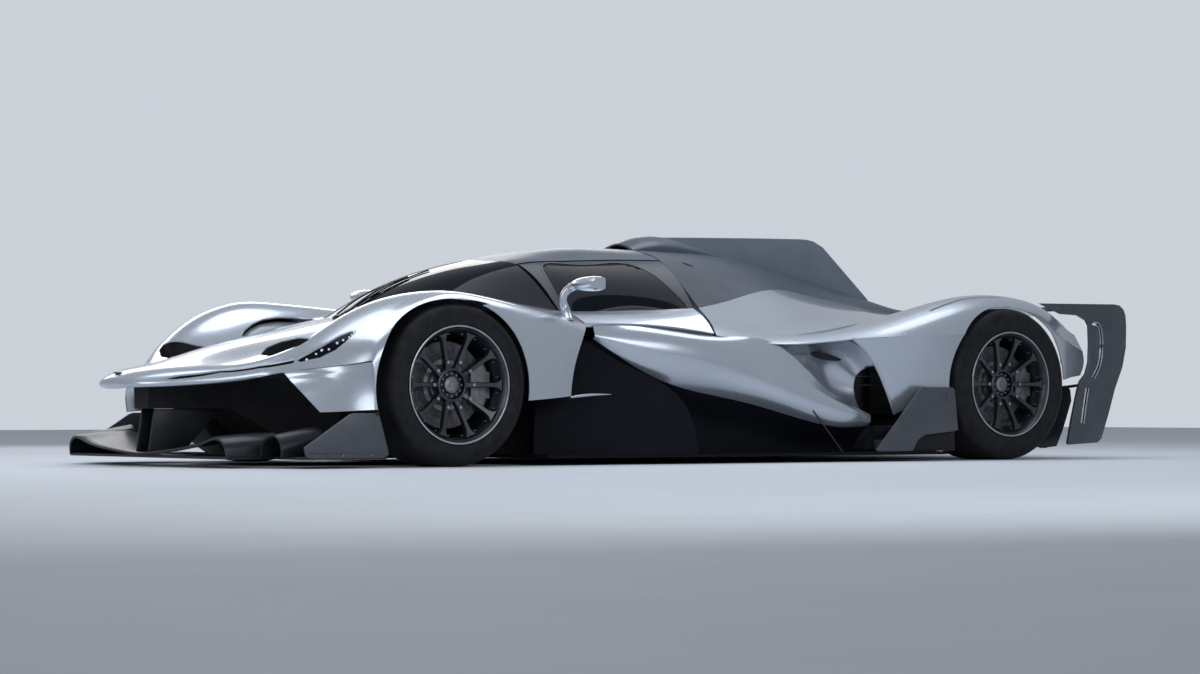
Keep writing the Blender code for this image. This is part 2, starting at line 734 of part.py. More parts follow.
# Wall of the outlet behind the sidepod. Columns: tip, fore, mid, lip.
DUCT_ROWS = [
    [(-1.330, .876, -.256), (-1.120, .888, -.238), (-.940, .903, -.232), (-.785, .905, -.330)],
    [(-1.300, .840, -.290), (-1.100, .780, -.300), (-.930, .740, -.320), (-.820, .750, -.370)],
    [(-1.290, .836, -.300), (-1.080, .770, -.370), (-.930, .730, -.430), (-.830, .750, -.450)],
    [(-1.330, .868, -.290), (-1.110, .865, -.385), (-.950, .850, -.475), (-.850, .830, -.540)],
]


def rear_table(rows):
    return [[from_rear(*point) for point in row] for row in rows]


def rear_fender_table(rows):
    return [[from_rear(x, y, REAR_CROWN + drop) for x, y, drop in row] for row in rows]


def spine_surface():
    return surface(rear_table(SPINE_ROWS), 2, REAR_STEPS, REAR_KNOTS - REAR_KNOTS[0])


def deck_surface():
    table = rear_table(DECK_ROWS) + rear_fender_table(REAR_FENDER_ROWS)
    return surface(table, 2, REAR_STEPS, REAR_KNOTS - REAR_KNOTS[0])


def wall_surface():
    return surface(rear_fender_table(REAR_SIDE_ROWS), 2, 2)


def rear_clamshell():
    top = deck_surface()
    side_grid = wall_surface()
    draw_back(top, ["front"], SHUT_GAP)
    draw_back(top, ["top"], PANEL_GAP)
    shape = panel("rear_clamshell", [top], SKIN, "silver_paint", 0)
    fuse(shape, as_cutter(box("tail_strap", from_rear(.342, -.118, .690), from_rear(.373, .118, .7250), None)))
    for label, side in SIDES:
        wall = as_cutter(panel("rear_side_" + label, [side_grid], SKIN, None, side))
        ys = sorted((side * .094, side * .122))
        strap_end = box("strap_end_" + label, from_rear(.340, ys[0], .694), from_rear(.375, ys[1], .7310), None)
        fuse(shape, wall, as_cutter(strap_end))
        cut(shape, arch_cutter("rear_arch_" + label, REAR_ARCH, REAR_ARCH_RADIUS, side))
        cut(shape, tyre_room("rear_room_" + label, REAR, REAR_TYRE_RADIUS, REAR_TYRE_WIDTH, side, 0))
    return shape


def engine_cover():
    grid = spine_surface()
    draw_back(grid, ["front"], SHUT_GAP)
    draw_back(grid, ["bottom"], PANEL_GAP)
    return panel("engine_cover", [grid], SKIN, "satin_carbon")


# Intake scoop sections: x from the rear axle, half width, top
SCOOP = [(-1.665, .130, .992), (-1.500, .125, 1.024), (-1.300, .085, 1.036),
         (-1.050, .045, 1.042), (-.800, .014, 1.046)]
SCOOP_TAPER = 0.62
SCOOP_FOOT = 0.930
SCOOP_WALL = 0.008
SCOOP_MOUTH_FOOT = 0.982
FIN = [(-1.100, .940), (-1.100, 1.049), (-.489, 1.060), (-.410, 1.052), (-.350, 1.025),
       (-.062, .775), (-.062, .750), (-.500, .830), (-.800, .880)]


def airbox_fin():
    sections = [(REAR + x, half, half * SCOOP_TAPER, SCOOP_FOOT, top) for x, half, top in SCOOP]
    shape = section_loft("airbox_fin", sections, "satin_carbon")
    mouth = [(REAR + x, half - SCOOP_WALL, half * SCOOP_TAPER - SCOOP_WALL, SCOOP_MOUTH_FOOT, top - SCOOP_WALL)
             for x, half, top in SCOOP[:4]]
    mouth[0] = (mouth[0][0] - .050,) + mouth[0][1:]
    cut(shape, as_cutter(section_loft("scoop_mouth", mouth, None)))
    fuse(shape, as_cutter(plate("fin_plate", [(REAR + x, z) for x, z in FIN], FIN_THICKNESS, None)))
    cut(shape, room_behind("spine_room", spine_surface(), .110))
    return shape


# Sidepod skin. Rows from the upper edge down and under;
# columns: nose, fore, door rear, outlet tip, mid, aft, end.
POD_ROWS = [
    # upper edge, tucked under the door sill and the crease, then along the outlet
    [("f", .790, .780, .570), ("f", 1.05, .820, .572), ("r", -1.690, .874, .552), ("r", -1.370, .890, .529),
     ("r", -1.13, .900, .416), ("r", -.960, .888, .322), ("r", -.835, .860, .240)],
    # ridge
    [("f", .790, .800, .560), ("f", 1.00, .858, .548), ("f", 1.250, .912, .505), ("f", 1.540, .938, .424),
     ("r", -1.27, .950, .330), ("r", -.970, .930, .235), ("r", -.828, .868, .222)],
    # side
    [("f", .790, .802, .550), ("f", 1.00, .866, .490), ("f", 1.25, .910, .420), ("f", 1.540, .932, .340),
     ("r", -1.27, .940, .262), ("r", -.975, .922, .190), ("r", -.826, .868, .200)],
    # lower edge
    [("f", .790, .790, .540), ("f", 1.00, .834, .410), ("f", 1.24, .848, .326), ("f", 1.540, .868, .270),
     ("r", -1.27, .884, .214), ("r", -1.00, .896, .160), ("r", -.828, .858, .175)],
    # undercut
    [("f", .790, .740, .420), ("f", 1.00, .740, .300), ("f", 1.24, .750, .220), ("f", 1.540, .770, .180),
     ("r", -1.27, .790, .130), ("r", -1.00, .800, .100), ("r", -.835, .810, .110)],
]
POD_FOOT_Y = 0.770
DECK_EDGE_ROWS = 4


def mixed_table(rows):
    places = {"f": from_front, "r": from_rear}
    return [[places[end](x, y, z) for end, x, y, z in row] for row in rows]


# The ground that a standing piece is trimmed to: everything below the floor's top
def below_floor():
    name = "below_floor"
    found = bpy.data.objects.get(name)
    if found:
        return found
    return as_cutter(box(name, (FRONT - .9, -1.2, -.5), (REAR + .8, 1.2, FLOOR_TOP + SEAT_GAP), None))


# The space of the deck's outer edge, which the pieces below it are trimmed to
def deck_edge_room(label, side):
    name = "deck_edge_room_" + label
    found = bpy.data.objects.get(name)
    if found:
        return found
    grid = deck_surface()[-DECK_EDGE_ROWS:]
    draw_back(grid, ["bottom"], -2 * PANEL_GAP)
    return room_behind(name, grid, .012, side)


def pod_surface():
    table = mixed_table(POD_ROWS)
    table.append([Vector((point.x, POD_FOOT_Y, FLOOR_TOP - .020)) for point in table[-1]])
    return surface(table, 2, 2)


def sidepod(label, side):
    shape = panel("sidepod_" + label, [pod_surface()], SKIN, "silver_paint", side)
    cut(shape, below_floor(), deck_edge_room(label, side))
    return shape


def outlet_duct(label, side):
    grid = surface(rear_fender_table(DUCT_ROWS), 2, 3)
    shape = panel("outlet_duct_" + label, [grid], SKIN, "cast_grey", side)
    wall_grid = wall_surface()
    draw_back(wall_grid, ["front"], -2 * PANEL_GAP)
    cut(shape, deck_edge_room(label, side), room_behind("wall_room_" + label, wall_grid, .012, side))
    return shape


# Floor outline, half: end, x, y
FLOOR_OUTLINE = [("f", -.600, .300), ("f", -.480, .430), ("f", .400, .500), ("f", .480, FLOOR_HALF_WIDTH - .06),
                 ("f", 1.243, FLOOR_HALF_WIDTH), ("r", -1.00, FLOOR_HALF_WIDTH - .005),
                 ("r", -.850, FLOOR_HALF_WIDTH + .025), ("r", -.430, FLOOR_HALF_WIDTH + .025),
                 ("r", -.420, FLOOR_WAIST), ("r", -.150, FLOOR_WAIST)]


def floor():
    half = [(FRONT + x if end == "f" else REAR + x, y) for end, x, y in FLOOR_OUTLINE]
    outline = half + [(x, -y) for x, y in half[::-1]]
    middle = GROUND_CLEARANCE + FLOOR_THICKNESS / 2
    return plate("floor", outline, FLOOR_THICKNESS, "dark_carbon", "XY", middle)


# Tub sections: x, half width at foot, half width at top, top
TUB = [(-.300, .250, .260, .480), (-.200, .340, .340, .500), (.180, .340, .340, .560), (.320, .440, .470, .590),
       (.742, .540, .570, .600), (1.390, .560, .620, .610)]
CRASH_BOX = [(-.960, .060, .070, .360), (-.600, .115, .125, .430)]
CRASH_BOX_FOOT = 0.240
# Half outline of the bulkhead behind the cabin: y, z
HOOP = [(.555, .480), (.600, .655), (.500, .800), (.375, .880), (.355, .980)]
HOOP_X = 1.365
HOOP_THICKNESS = 0.030
# Rib that carries the nose: x from the front axle, z
NOSE_RIB = [(-.620, .340), (-.620, .540), (-.160, .640), (-.120, .440)]
RIB_THICKNESS = 0.024
COCKPIT_FRONT = 0.02
COCKPIT_REAR = 1.33


# The cockpit's space; walls are drawn in from the tub's outside by the given depth
def cockpit(name, wall, foot_gap, finish=None, rise=.10):
    foot = FLOOR_TOP + SEAT_GAP
    inner = [(FRONT + x, low - wall, high - wall, foot + foot_gap, top + rise) for x, low, high, top in TUB[2:]]
    inner[0] = (FRONT + COCKPIT_FRONT,) + inner[0][1:]
    inner[-1] = (FRONT + COCKPIT_REAR,) + inner[-1][1:]
    return as_cutter(section_loft(name, inner, finish))


def tub():
    foot = FLOOR_TOP + SEAT_GAP
    sections = [(FRONT + x, low, high, CRASH_BOX_FOOT, top) for x, low, high, top in CRASH_BOX]
    sections += [(FRONT + x, low, high, foot, top) for x, low, high, top in TUB]
    shape = section_loft("tub", sections, "dark_carbon")
    cut(shape, cockpit("cockpit", TUB_WALL, TUB_WALL))
    hoop = as_cutter(plate("bulkhead", HOOP + [(-y, z) for y, z in HOOP[::-1]], HOOP_THICKNESS, None,
                           "YZ", FRONT + HOOP_X))
    cut(hoop, room_above("roof_space", roof_grid(), ROOF_THICKNESS, SEAT_GAP, .080))
    door_grid = door_grids()[0]
    draw_back(door_grid, ["top"], -4 * SHUT_GAP)
    for label, side in SIDES:
        cut(hoop, room_above("door_space_" + label, door_grid, DOOR_THICKNESS, 2 * SHUT_GAP, .080, side))
    rib = as_cutter(plate("nose_rib", [(FRONT + x, z) for x, z in NOSE_RIB], RIB_THICKNESS, None))
    cut(rib, room_above("nose_space", front_surface()[:SCREEN_EDGE_ROWS], SKIN, SEAT_GAP, .080))
    fuse(shape, hoop, rib)
    return shape


def engine():
    foot = FLOOR_TOP + SEAT_GAP
    front = FRONT + TUB[-1][0] + SEAT_GAP
    block = box("engine", (front, -.270, foot), (REAR - .78, .270, .620), "cast_grey")
    gearbox = box("gearbox", (REAR - .90, -.150, foot), (REAR - .150, .150, .430), None)
    casing = box("casing", (REAR - .20, -.150, GROUND_CLEARANCE + .140), (REAR + .190, .150, .430), None)
    brace = as_cutter(box("brace", from_rear(-.470, -.110, .380), from_rear(-.440, .110, .900), None))
    cut(brace, room_above("spine_space", spine_surface(), SKIN, SEAT_GAP, .120))
    fuse(block, as_cutter(gearbox), as_cutter(casing), brace)
    return block


WHEEL_STEPS = 24


# Wheels
def tyre(name, x, radius, width, side):
    middle = RIM_FACE_Y - width / 2
    half = width / 2
    seat = BEAD_RADIUS + SEAT_GAP
    profile = [(RIM_EDGE_RADIUS + .012, half), (radius - .045, half + .002), (radius - .014, half - .012),
               (radius, half - .040), (radius, -half + .040), (radius - .014, -half + .012),
               (radius - .045, -half - .002), (RIM_EDGE_RADIUS + .012, -half), (seat, -half + .012),
               (seat, half - .012)]
    return turned(name, profile, (x, side * middle, radius), side, "tyre_rubber", WHEEL_STEPS)


def rim(name, x, radius, width, side):
    middle = RIM_FACE_Y - width / 2
    half = width / 2
    bore = BEAD_RADIUS - RIM_WALL
    profile = [(RIM_EDGE_RADIUS, half), (BEAD_RADIUS, half - .0118),
               (BEAD_RADIUS, -half + .0118), (RIM_EDGE_RADIUS, -half),
               (bore, -half), (bore, half - .030), (RIM_EDGE_RADIUS - .012, half)]
    centre = (x, side * middle, radius)
    shape = turned(name, profile, centre, side, "gunmetal", WHEEL_STEPS)
    hub_out = half - HUB_RECESS
    hub = [(.012, hub_out), (HUB_RADIUS, hub_out), (HUB_RADIUS, hub_out - HUB_DEPTH), (.012, hub_out - HUB_DEPTH)]
    hub_piece = as_cutter(turned(name + "_hub", hub, centre, side, None, 16))
    spokes = as_cutter(spoke_star(name + "_spokes", centre, side, half, hub_out, bore))
    fuse(shape, spokes, hub_piece)
    return shape


HUB_DEPTH = 0.034


# Straight spokes from the hub out to the barrel, as one mesh of separate bars
def spoke_star(name, centre, side, half, hub_out, bore):
    form = bmesh.new()
    inner_r = HUB_RADIUS - .010
    outer_r = bore + .006
    for k in range(SPOKE_COUNT):
        turn = Matrix.Rotation(2 * math.pi * (k + .5) / SPOKE_COUNT, 3, "Z")
        ring = []
        for radius, width, out, depth in ((inner_r, SPOKE_WIDTH, hub_out - .006, .022),
                                          (outer_r, SPOKE_WIDTH * .8, half - .018, .018)):
            for across, level in ((-width / 2, out - depth), (width / 2, out - depth),
                                  (width / 2 - .004, out), (-width / 2 + .004, out)):
                ring.append(form.verts.new(turn @ Vector((radius, across, level))))
        for a, b, c, d in ((0, 3, 2, 1), (4, 5, 6, 7), (0, 1, 5, 4), (1, 2, 6, 5), (2, 3, 7, 6), (3, 0, 4, 7)):
            form.faces.new((ring[a], ring[b], ring[c], ring[d]))
    bmesh.ops.recalc_face_normals(form, faces=form.faces)
    mesh = bpy.data.meshes.new(name)
    form.to_mesh(mesh)
    form.free()
    shape = add_object(name, mesh, None)
    shape.location = centre
    shape.rotation_euler = (-side * math.pi / 2, 0, 0)
    return shape


def brake_disc(name, x, radius, side):
    hub_back = RIM_FACE_Y - HUB_RECESS - HUB_DEPTH - SEAT_GAP
    half = DISC_THICKNESS / 2
    out = hub_back - DISC_Y
    profile = [(.012, out), (BELL_RADIUS - .02, out), (BELL_RADIUS, half),
               (DISC_RADIUS, half), (DISC_RADIUS, -half), (.012, -half)]
    return turned(name, profile, (x, side * DISC_Y, radius), side, "disc_carbon", 20)


BEARING_GAP = 0.0005
CALIPER_GAP = 0.006
UPRIGHT_DEPTH = 0.085
UPRIGHT_HALF = 0.150


# An upright with its brake caliper over the disc and its bearing on the hub
def upright(name, x, radius, side):
    disc_back = DISC_Y - DISC_THICKNESS / 2
    face = disc_back - CALIPER_GAP

    def block(tag, near, far, finish=None):
        (x0, y0, z0), (x1, y1, z1) = near, far
        ys = sorted((side * y0, side * y1))
        return box(tag, (x0, ys[0], z0), (x1, ys[1], z1), finish)

    shape = block(name, (x - .045, face - UPRIGHT_DEPTH, radius - UPRIGHT_HALF),
                  (x + .045, face, radius + UPRIGHT_HALF), "cast_grey")
    bearing = rod(name + "_bearing", (x, side * (face - .02), radius),
                  (x, side * (disc_back - BEARING_GAP), radius), .038, None, 12)
    inner = disc_back - CALIPER_GAP
    outer = DISC_Y + DISC_THICKNESS / 2 + CALIPER_GAP
    reach = DISC_RADIUS + CALIPER_GAP
    crown = reach + .016
    caliper = [(.030, face - .055), (crown, face - .055), (crown, outer + .018), (.110, outer + .018),
               (.110, outer), (reach, outer), (reach, inner - .001), (.030, inner - .001)]
    drawn = [(x + along, side * out) for along, out in caliper]
    fuse(shape, as_cutter(bearing),
         as_cutter(plate(name + "_caliper", drawn[::side], .110, None, "XY", radius)))
    return shape


ARM_RADIUS = 0.013
JOINT_RADIUS = 0.022
JOINT_HEIGHT = 0.030


# Wishbones and pushrod, joined by the plate that bolts to the car
def suspension(name, x, radius, side, plate_y, spread, top_z):
    reach = UPRIGHT_HALF + SEAT_GAP
    ys = sorted((side * plate_y, side * (plate_y + .022)))
    mount = box(name, (x - spread - .03, ys[0], radius - reach - .045),
                (x + spread + .03, ys[1], top_z), "dark_carbon")
    inner = side * (plate_y + .012)
    outer = side * KINGPIN_Y
    for tag, up in (("low", -1), ("high", 1)):
        near = radius + up * reach
        far = near + up * JOINT_HEIGHT
        middle = (near + far) / 2
        post = rod(name + "_" + tag + "_joint", (x, outer, min(near, far)), (x, outer, max(near, far)),
                   JOINT_RADIUS, None, 12)
        fuse(mount, as_cutter(post))
        for end, shift in (("fore", -1), ("aft", 1)):
            short = side * (.006 + .007 * (shift + 1))
            arm = rod(name + "_" + tag + "_" + end, (x + shift * spread, inner, middle - up * .012),
                      (x + shift * .007, outer - short, middle + shift * .0013), ARM_RADIUS, None, 7)
            fuse(mount, as_cutter(arm))
    push = rod(name + "_push", (x, inner, top_z - .025), (x, outer - side * .040, radius - reach - .013),
               ARM_RADIUS * .8, None)
    fuse(mount, as_cutter(push))
    return mount


def wheel_corner(end, x, radius, width, label, side):
    place = end + "_" + label
    tyre("tyre_" + place, x, radius, width, side)
    rim("rim_" + place, x, radius, width, side)
    brake_disc("disc_" + place, x, radius, side)
    upright("upright_" + place, x, radius, side)


# Front wing: a wavy blade, a second blade, two pylons and the end plates.
# Columns: leading edge, crown, trailing edge; rows from the centre out.
WING_BLADE = [
    [(-.966, .000, .062), (-.86, .000, .074), (-.72, .000, .090)],
    [(-.985, .150, .066), (-.87, .150, .080), (-.72, .150, .096)],
    [(-.985, .330, .094), (-.86, .330, .108), (-.70, .330, .118)],
    [(-.925, .480, .118), (-.80, .480, .128), (-.66, .480, .132)],
    [(-.850, .545, .105), (-.76, .545, .118), (-.64, .545, .125)],
    [(-.838, .562, .048), (-.76, .562, .052), (-.64, .562, .056)],
]
FLAP_BLADE = [
    [(-.735, .545, .060), (-.66, .545, .078), (-.56, .545, .100)],
    [(-.745, .640, .098), (-.67, .640, .116), (-.56, .640, .138)],
    [(-.735, .715, .128), (-.66, .715, .142), (-.56, .715, .160)],
    [(-.700, .752, .100), (-.64, .752, .120), (-.56, .752, .150)],
    [(-.690, .765, .042), (-.63, .765, .044), (-.56, .765, .046)],
]
FOOTPLATE = [(-.741, .085), (-.730, .040), (-.343, .040), (-.390, .2225), (-.523, .2215)]
FOOTPLATE_Y = 0.955
LEDGE_FOOT = GROUND_CLEARANCE + .006
PYLON_Y = 0.055
BLADE_THICKNESS = 0.012


def front_wing():
    blade = surface(front_table(WING_BLADE), 2, 2)
    flap_grid = surface(front_table(FLAP_BLADE), 2, 2)
    shape = panel("front_wing", [blade], BLADE_THICKNESS, "dark_carbon")
    for label, side in SIDES:
        flap = as_cutter(panel("flap_" + label, [flap_grid], BLADE_THICKNESS * .8, None, side))
        roof_z = CRASH_BOX_FOOT - SEAT_GAP
        pylon_outline = [(FRONT - .955, .060), (FRONT - .78, .072), (FRONT - .62, roof_z), (FRONT - .93, roof_z)]
        pylon = as_cutter(plate("pylon_" + label, pylon_outline, .012, None, "XZ", side * PYLON_Y))
        ys = sorted((side * .540, side * (FOOTPLATE_Y + .004)))
        ledge = as_cutter(box("ledge_" + label, from_front(-.742, ys[0], LEDGE_FOOT),
                              from_front(-.350, ys[1], LEDGE_FOOT + .012), None))
        foot = as_cutter(plate("footplate_" + label, [(FRONT + x, z) for x, z in FOOTPLATE], PLATE, None,
                               "XZ", side * FOOTPLATE_Y))
        fuse(shape, ledge, flap, foot, pylon)
    return shape


# Board behind the front wheel. Rows from the top edge down; columns: front, mid, rear.
BOARD_ROWS = [
    [(.700, .712, .545), (.735, .745, .538), (.775, .778, .528)],
    [(.640, .716, .420), (.760, .775, .430), (.900, .838, .440)],
    [(.560, .720, .300), (.800, .820, .320), (1.110, .915, .325)],
    [(.500, .760, .030), (.860, .905, .030), (1.238, .952, .030)],
]


def side_board(label, side):
    grid = surface(front_table(BOARD_ROWS), 3, 3)
    shape = panel("side_board_" + label, [grid], PLATE * .6, "dark_carbon", side)
    cut(shape, below_floor())
    return shape


DEFLECTOR = [(-.546, .336), (-.390, .336), (-.395, .140), (-.523, .131), (-.565, .048), (-.843, .048)]
DEFLECTOR_Y = 0.979


def rear_deflector(label, side):
    foot = FLOOR_TOP + SEAT_GAP
    outline = [(REAR + x, max(z, foot) if z > .06 else foot) for x, z in DEFLECTOR]
    return plate("rear_deflector_" + label, outline, PLATE, "dark_carbon", "XZ", side * DEFLECTOR_Y)


ENDPLATE = [(.240, .736), (.655, .740), (.715, .722), (.755, .670), (.763, .600), (.752, .510), (.721, .423),
            (.660, .270), (.584, .077), (.371, .066), (.415, .220), (.459, .335), (.505, .430),
            (.526, .517), (.515, .600), (.494, .651), (.430, .680), (.300, .694)]
WING_FOOT = 0.715
WING_THICKNESS = 0.016
WING_FRONT = 0.450
WING_REAR = 0.660
STRUT_Y = 0.300


def rear_wing():
    shape = box("rear_wing", from_rear(WING_FRONT, -WING_HALF_SPAN, WING_FOOT),
                from_rear(WING_REAR, WING_HALF_SPAN, WING_FOOT + WING_THICKNESS), "dark_carbon")
    for label, side in SIDES:
        outline = [(REAR + x, z) for x, z in ENDPLATE]
        middle = WING_HALF_SPAN + ENDPLATE_THICKNESS / 2 - .004
        fuse(shape, as_cutter(plate("endplate_" + label, outline, ENDPLATE_THICKNESS, None, "XZ", side * middle)))
    return shape


def diffuser():
    foot = GROUND_CLEARANCE
    sections = [(REAR - .150 + SEAT_GAP, .540, .540, foot, foot + .014),
                (REAR + .080, .590, .590, foot + .040, foot + .055),
                (REAR + .375, .600, .600, foot + .188, foot + .205),
                (REAR + .385, .780, .780, foot + .193, foot + .210),
                (REAR + .460, .780, .780, foot + .230, foot + .250)]
    shape = section_loft("diffuser", sections, "dark_carbon")
    for k, y in enumerate((-.772, -.45, -.15, .15, .45, .772)):
        start = .05 + abs(y) * .40
        outline = [(REAR + start, foot + .020), (REAR + .40, foot + .020), (REAR + .450, foot + .140),
                   (REAR + .455, foot + .235), (REAR + start + .02, foot + .055)]
        fuse(shape, as_cutter(plate("strake_%d" % k, outline, PLATE, None, "XZ", y)))
    for label, side in SIDES:
        strut = [(REAR + .400, foot + .190), (REAR + .455, foot + .230), (REAR + .600, WING_FOOT - SEAT_GAP),
                 (REAR + .500, WING_FOOT - SEAT_GAP)]
        fuse(shape, as_cutter(plate("wing_strut_" + label, strut, PLATE * 1.2, None, "XZ", side * STRUT_Y)))
    return shape


# Cabin
def seat(label, side):
    foot = FLOOR_TOP + SEAT_GAP + TUB_WALL + SEAT_GAP
    outline = [(FRONT + .55, foot), (FRONT + .60, foot + .14), (FRONT + .98, foot + .07), (FRONT + 1.13, foot + .60),
               (FRONT + 1.20, foot + .72), (FRONT + 1.26, foot + .70), (FRONT + 1.22, foot)]
    return plate("seat_" + label, outline, .400, "suede_black", "XZ", side * SEAT_Y)


WIPER_HEIGHT = 0.013
WIPER_WIDTH = 0.012
COLUMN_END = (.700, -SEAT_Y, .560)
COLUMN_ROOT = (.500, -SEAT_Y, .510)
COLUMN_RADIUS = 0.020
DASH_REAR = 0.525


def dashboard():
    wide = .60
    shape = section_loft("dashboard", [(FRONT + .30, wide, wide, .520, .585),
                                       (FRONT + .45, wide, wide, .440, .620),
                                       (FRONT + DASH_REAR, wide, wide, .455, .600)], "suede_black")
    boolean(shape, cockpit("dash_room", TUB_WALL + SEAT_GAP, TUB_WALL), "INTERSECT")
    root = from_front(*COLUMN_ROOT)
    along = (from_front(*COLUMN_END) - root).normalized()
    hole = rod("column_hole", root - along * SEAT_GAP, root + along * .2, COLUMN_RADIUS + .002, None, 12)
    cut(shape, as_cutter(hole))
    return shape


def steering_wheel():
    centre = from_front(*COLUMN_END)
    root = from_front(*COLUMN_ROOT)
    axis = (centre - root).normalized()
    shape = box("steering_wheel", (-.130, -.075, -.012), (.130, .075, .012), "suede_black")
    turn = Matrix.Rotation(math.pi / 2, 4, "Z")
    facing = axis.to_track_quat("Z", "Y").to_matrix().to_4x4() @ turn
    shape.data.transform(facing)
    column = rod("column", root, centre, COLUMN_RADIUS, None, 12)
    shape.location = centre
    fuse(shape, as_cutter(column))
    return shape


MIRROR_ROW = 12
MIRROR_PLACE = 0.85


def mirror(label, side):
    grid = front_surface() * (1, side, 1)
    edge = [Vector(point) for point in grid[MIRROR_ROW][-2:]]
    across = Vector(grid[MIRROR_ROW + 1][-1] - grid[MIRROR_ROW - 1][-1])
    normal = (edge[1] - edge[0]).cross(across).normalized() * side
    foot = edge[0].lerp(edge[1], MIRROR_PLACE) + normal * 2 * SEAT_GAP
    bend = from_front(.655, side * .760, .735)
    head = from_front(.672, side * .800, .765)
    tip = from_front(.700, side * .985, .768)
    shape = rod("mirror_" + label, foot - normal * .012, foot + normal * .017, .018, "silver_paint", 12)
    fuse(shape, as_cutter(rod("mirror_stalk_" + label, foot + normal * .0150, bend, .014, None, 10, None, .012)),
         as_cutter(rod("mirror_neck_" + label, bend - (bend - foot) * .06, head, .013, None, 10)),
         as_cutter(rod("mirror_head_" + label, head - (tip - head) * .10, tip, .020, None, 12, None, .026)))
    patch = front_surface()[MIRROR_ROW - 2:MIRROR_ROW + 3, -2:]
    cut(shape, room_behind("mirror_room_" + label, patch, .030, side))
    return shape


# The wiper lies along the middle of the windscreen
def wiper():
    line = [Vector(point) for point in canopy_surface()[0][:2 * CANOPY_STEPS + 1]]
    line[0] = line[0].lerp(line[1], .60)
    low = [(point.x, point.z + 2 * SEAT_GAP) for point in line]
    high = [(point.x, point.z + WIPER_HEIGHT) for point in line]
    return plate("wiper", low + high[::-1], WIPER_WIDTH, "dark_carbon")


def rear_lamp():
    return box("rear_lamp", from_rear(WING_REAR + SEAT_GAP, -.60, WING_FOOT + .002),
               from_rear(WING_REAR + .010, .60, WING_FOOT + WING_THICKNESS - .002), "lamp_red")


def build_car():
    front_clamshell()
    rear_clamshell()
    engine_cover()
    airbox_fin()
    windscreen()
    roof()
    floor()
    tub()
    engine()
    front_wing()
    rear_wing()
    rear_lamp()
    diffuser()
    dashboard()
    steering_wheel()
    wiper()
    for label, side in SIDES:
        door(label, side)
        headlamp(label, side)
        sidepod(label, side)
        outlet_duct(label, side)
        side_board(label, side)
        rear_deflector(label, side)
        seat(label, side)
        mirror(label, side)
        wheel_corner("front", FRONT, FRONT_TYRE_RADIUS, FRONT_TYRE_WIDTH, label, side)
        wheel_corner("rear", REAR, REAR_TYRE_RADIUS, REAR_TYRE_WIDTH, label, side)
        suspension("suspension_front_" + label, FRONT, FRONT_TYRE_RADIUS, side, .340 + SEAT_GAP, .140, .500)
        suspension("suspension_rear_" + label, REAR, REAR_TYRE_RADIUS, side, .1503, .170, .560)


build_car()
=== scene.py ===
import math
import bmesh
import bpy
import numpy as np
from mathutils import Matrix, Vector


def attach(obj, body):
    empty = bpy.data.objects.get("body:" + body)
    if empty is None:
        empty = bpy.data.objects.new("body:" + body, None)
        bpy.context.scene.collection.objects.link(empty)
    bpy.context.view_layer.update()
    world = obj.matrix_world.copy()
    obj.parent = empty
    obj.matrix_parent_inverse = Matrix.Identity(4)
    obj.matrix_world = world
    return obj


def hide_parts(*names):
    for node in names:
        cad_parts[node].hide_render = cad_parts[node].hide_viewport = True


# Track hypercar: fine skins, wheels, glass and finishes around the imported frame
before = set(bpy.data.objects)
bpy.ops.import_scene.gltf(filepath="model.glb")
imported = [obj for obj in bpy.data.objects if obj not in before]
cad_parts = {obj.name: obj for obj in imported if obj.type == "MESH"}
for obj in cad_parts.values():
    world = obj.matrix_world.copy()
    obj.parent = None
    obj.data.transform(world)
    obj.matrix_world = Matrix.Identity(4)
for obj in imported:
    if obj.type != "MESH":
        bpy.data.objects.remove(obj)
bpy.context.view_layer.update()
print("frame loaded")

# Places along the car, shared by all pieces (metres)
frontAxle = -1.363
rearAxle = 1.717
frontRadius = 0.337
rearRadius = 0.354
frontCrown = 0.729
rearCrown = 0.773
skinWall = 0.005
sides = (("left", -1), ("right", 1))

# Tables of points: fore-and-aft, across and up, from the nearer axle and its fender's crown
noseRows = [
    # centre line
    [(-1.117, 0, .356), (-1.075, 0, .382), (-.90, 0, .427), (-.62, 0, .500),
     (-.36, 0, .558), (-.15, 0, .602), (.014, 0, .635)],
    # ridge of the nose
    [(-1.085, .150, .345), (-1.040, .150, .378), (-.87, .150, .425), (-.60, .150, .498),
     (-.34, .165, .556), (-.13, .180, .600), (.046, .185, .640)],
    # bonnet vent
    [(-.935, .300, .344), (-.905, .300, .378), (-.78, .300, .424), (-.55, .310, .480),
     (-.31, .330, .536), (-.07, .345, .590), (.140, .350, .642)],
    # valley
    [(-.800, .430, .356), (-.772, .430, .393), (-.66, .435, .440), (-.46, .445, .500),
     (-.25, .455, .556), (.02, .465, .612), (.290, .458, .649)],
    # inner flank
    [(-.690, .560, .376), (-.662, .560, .418), (-.565, .562, .490), (-.40, .565, .570),
     (-.22, .570, .628), (.06, .570, .656), (.470, .520, .658)],
]
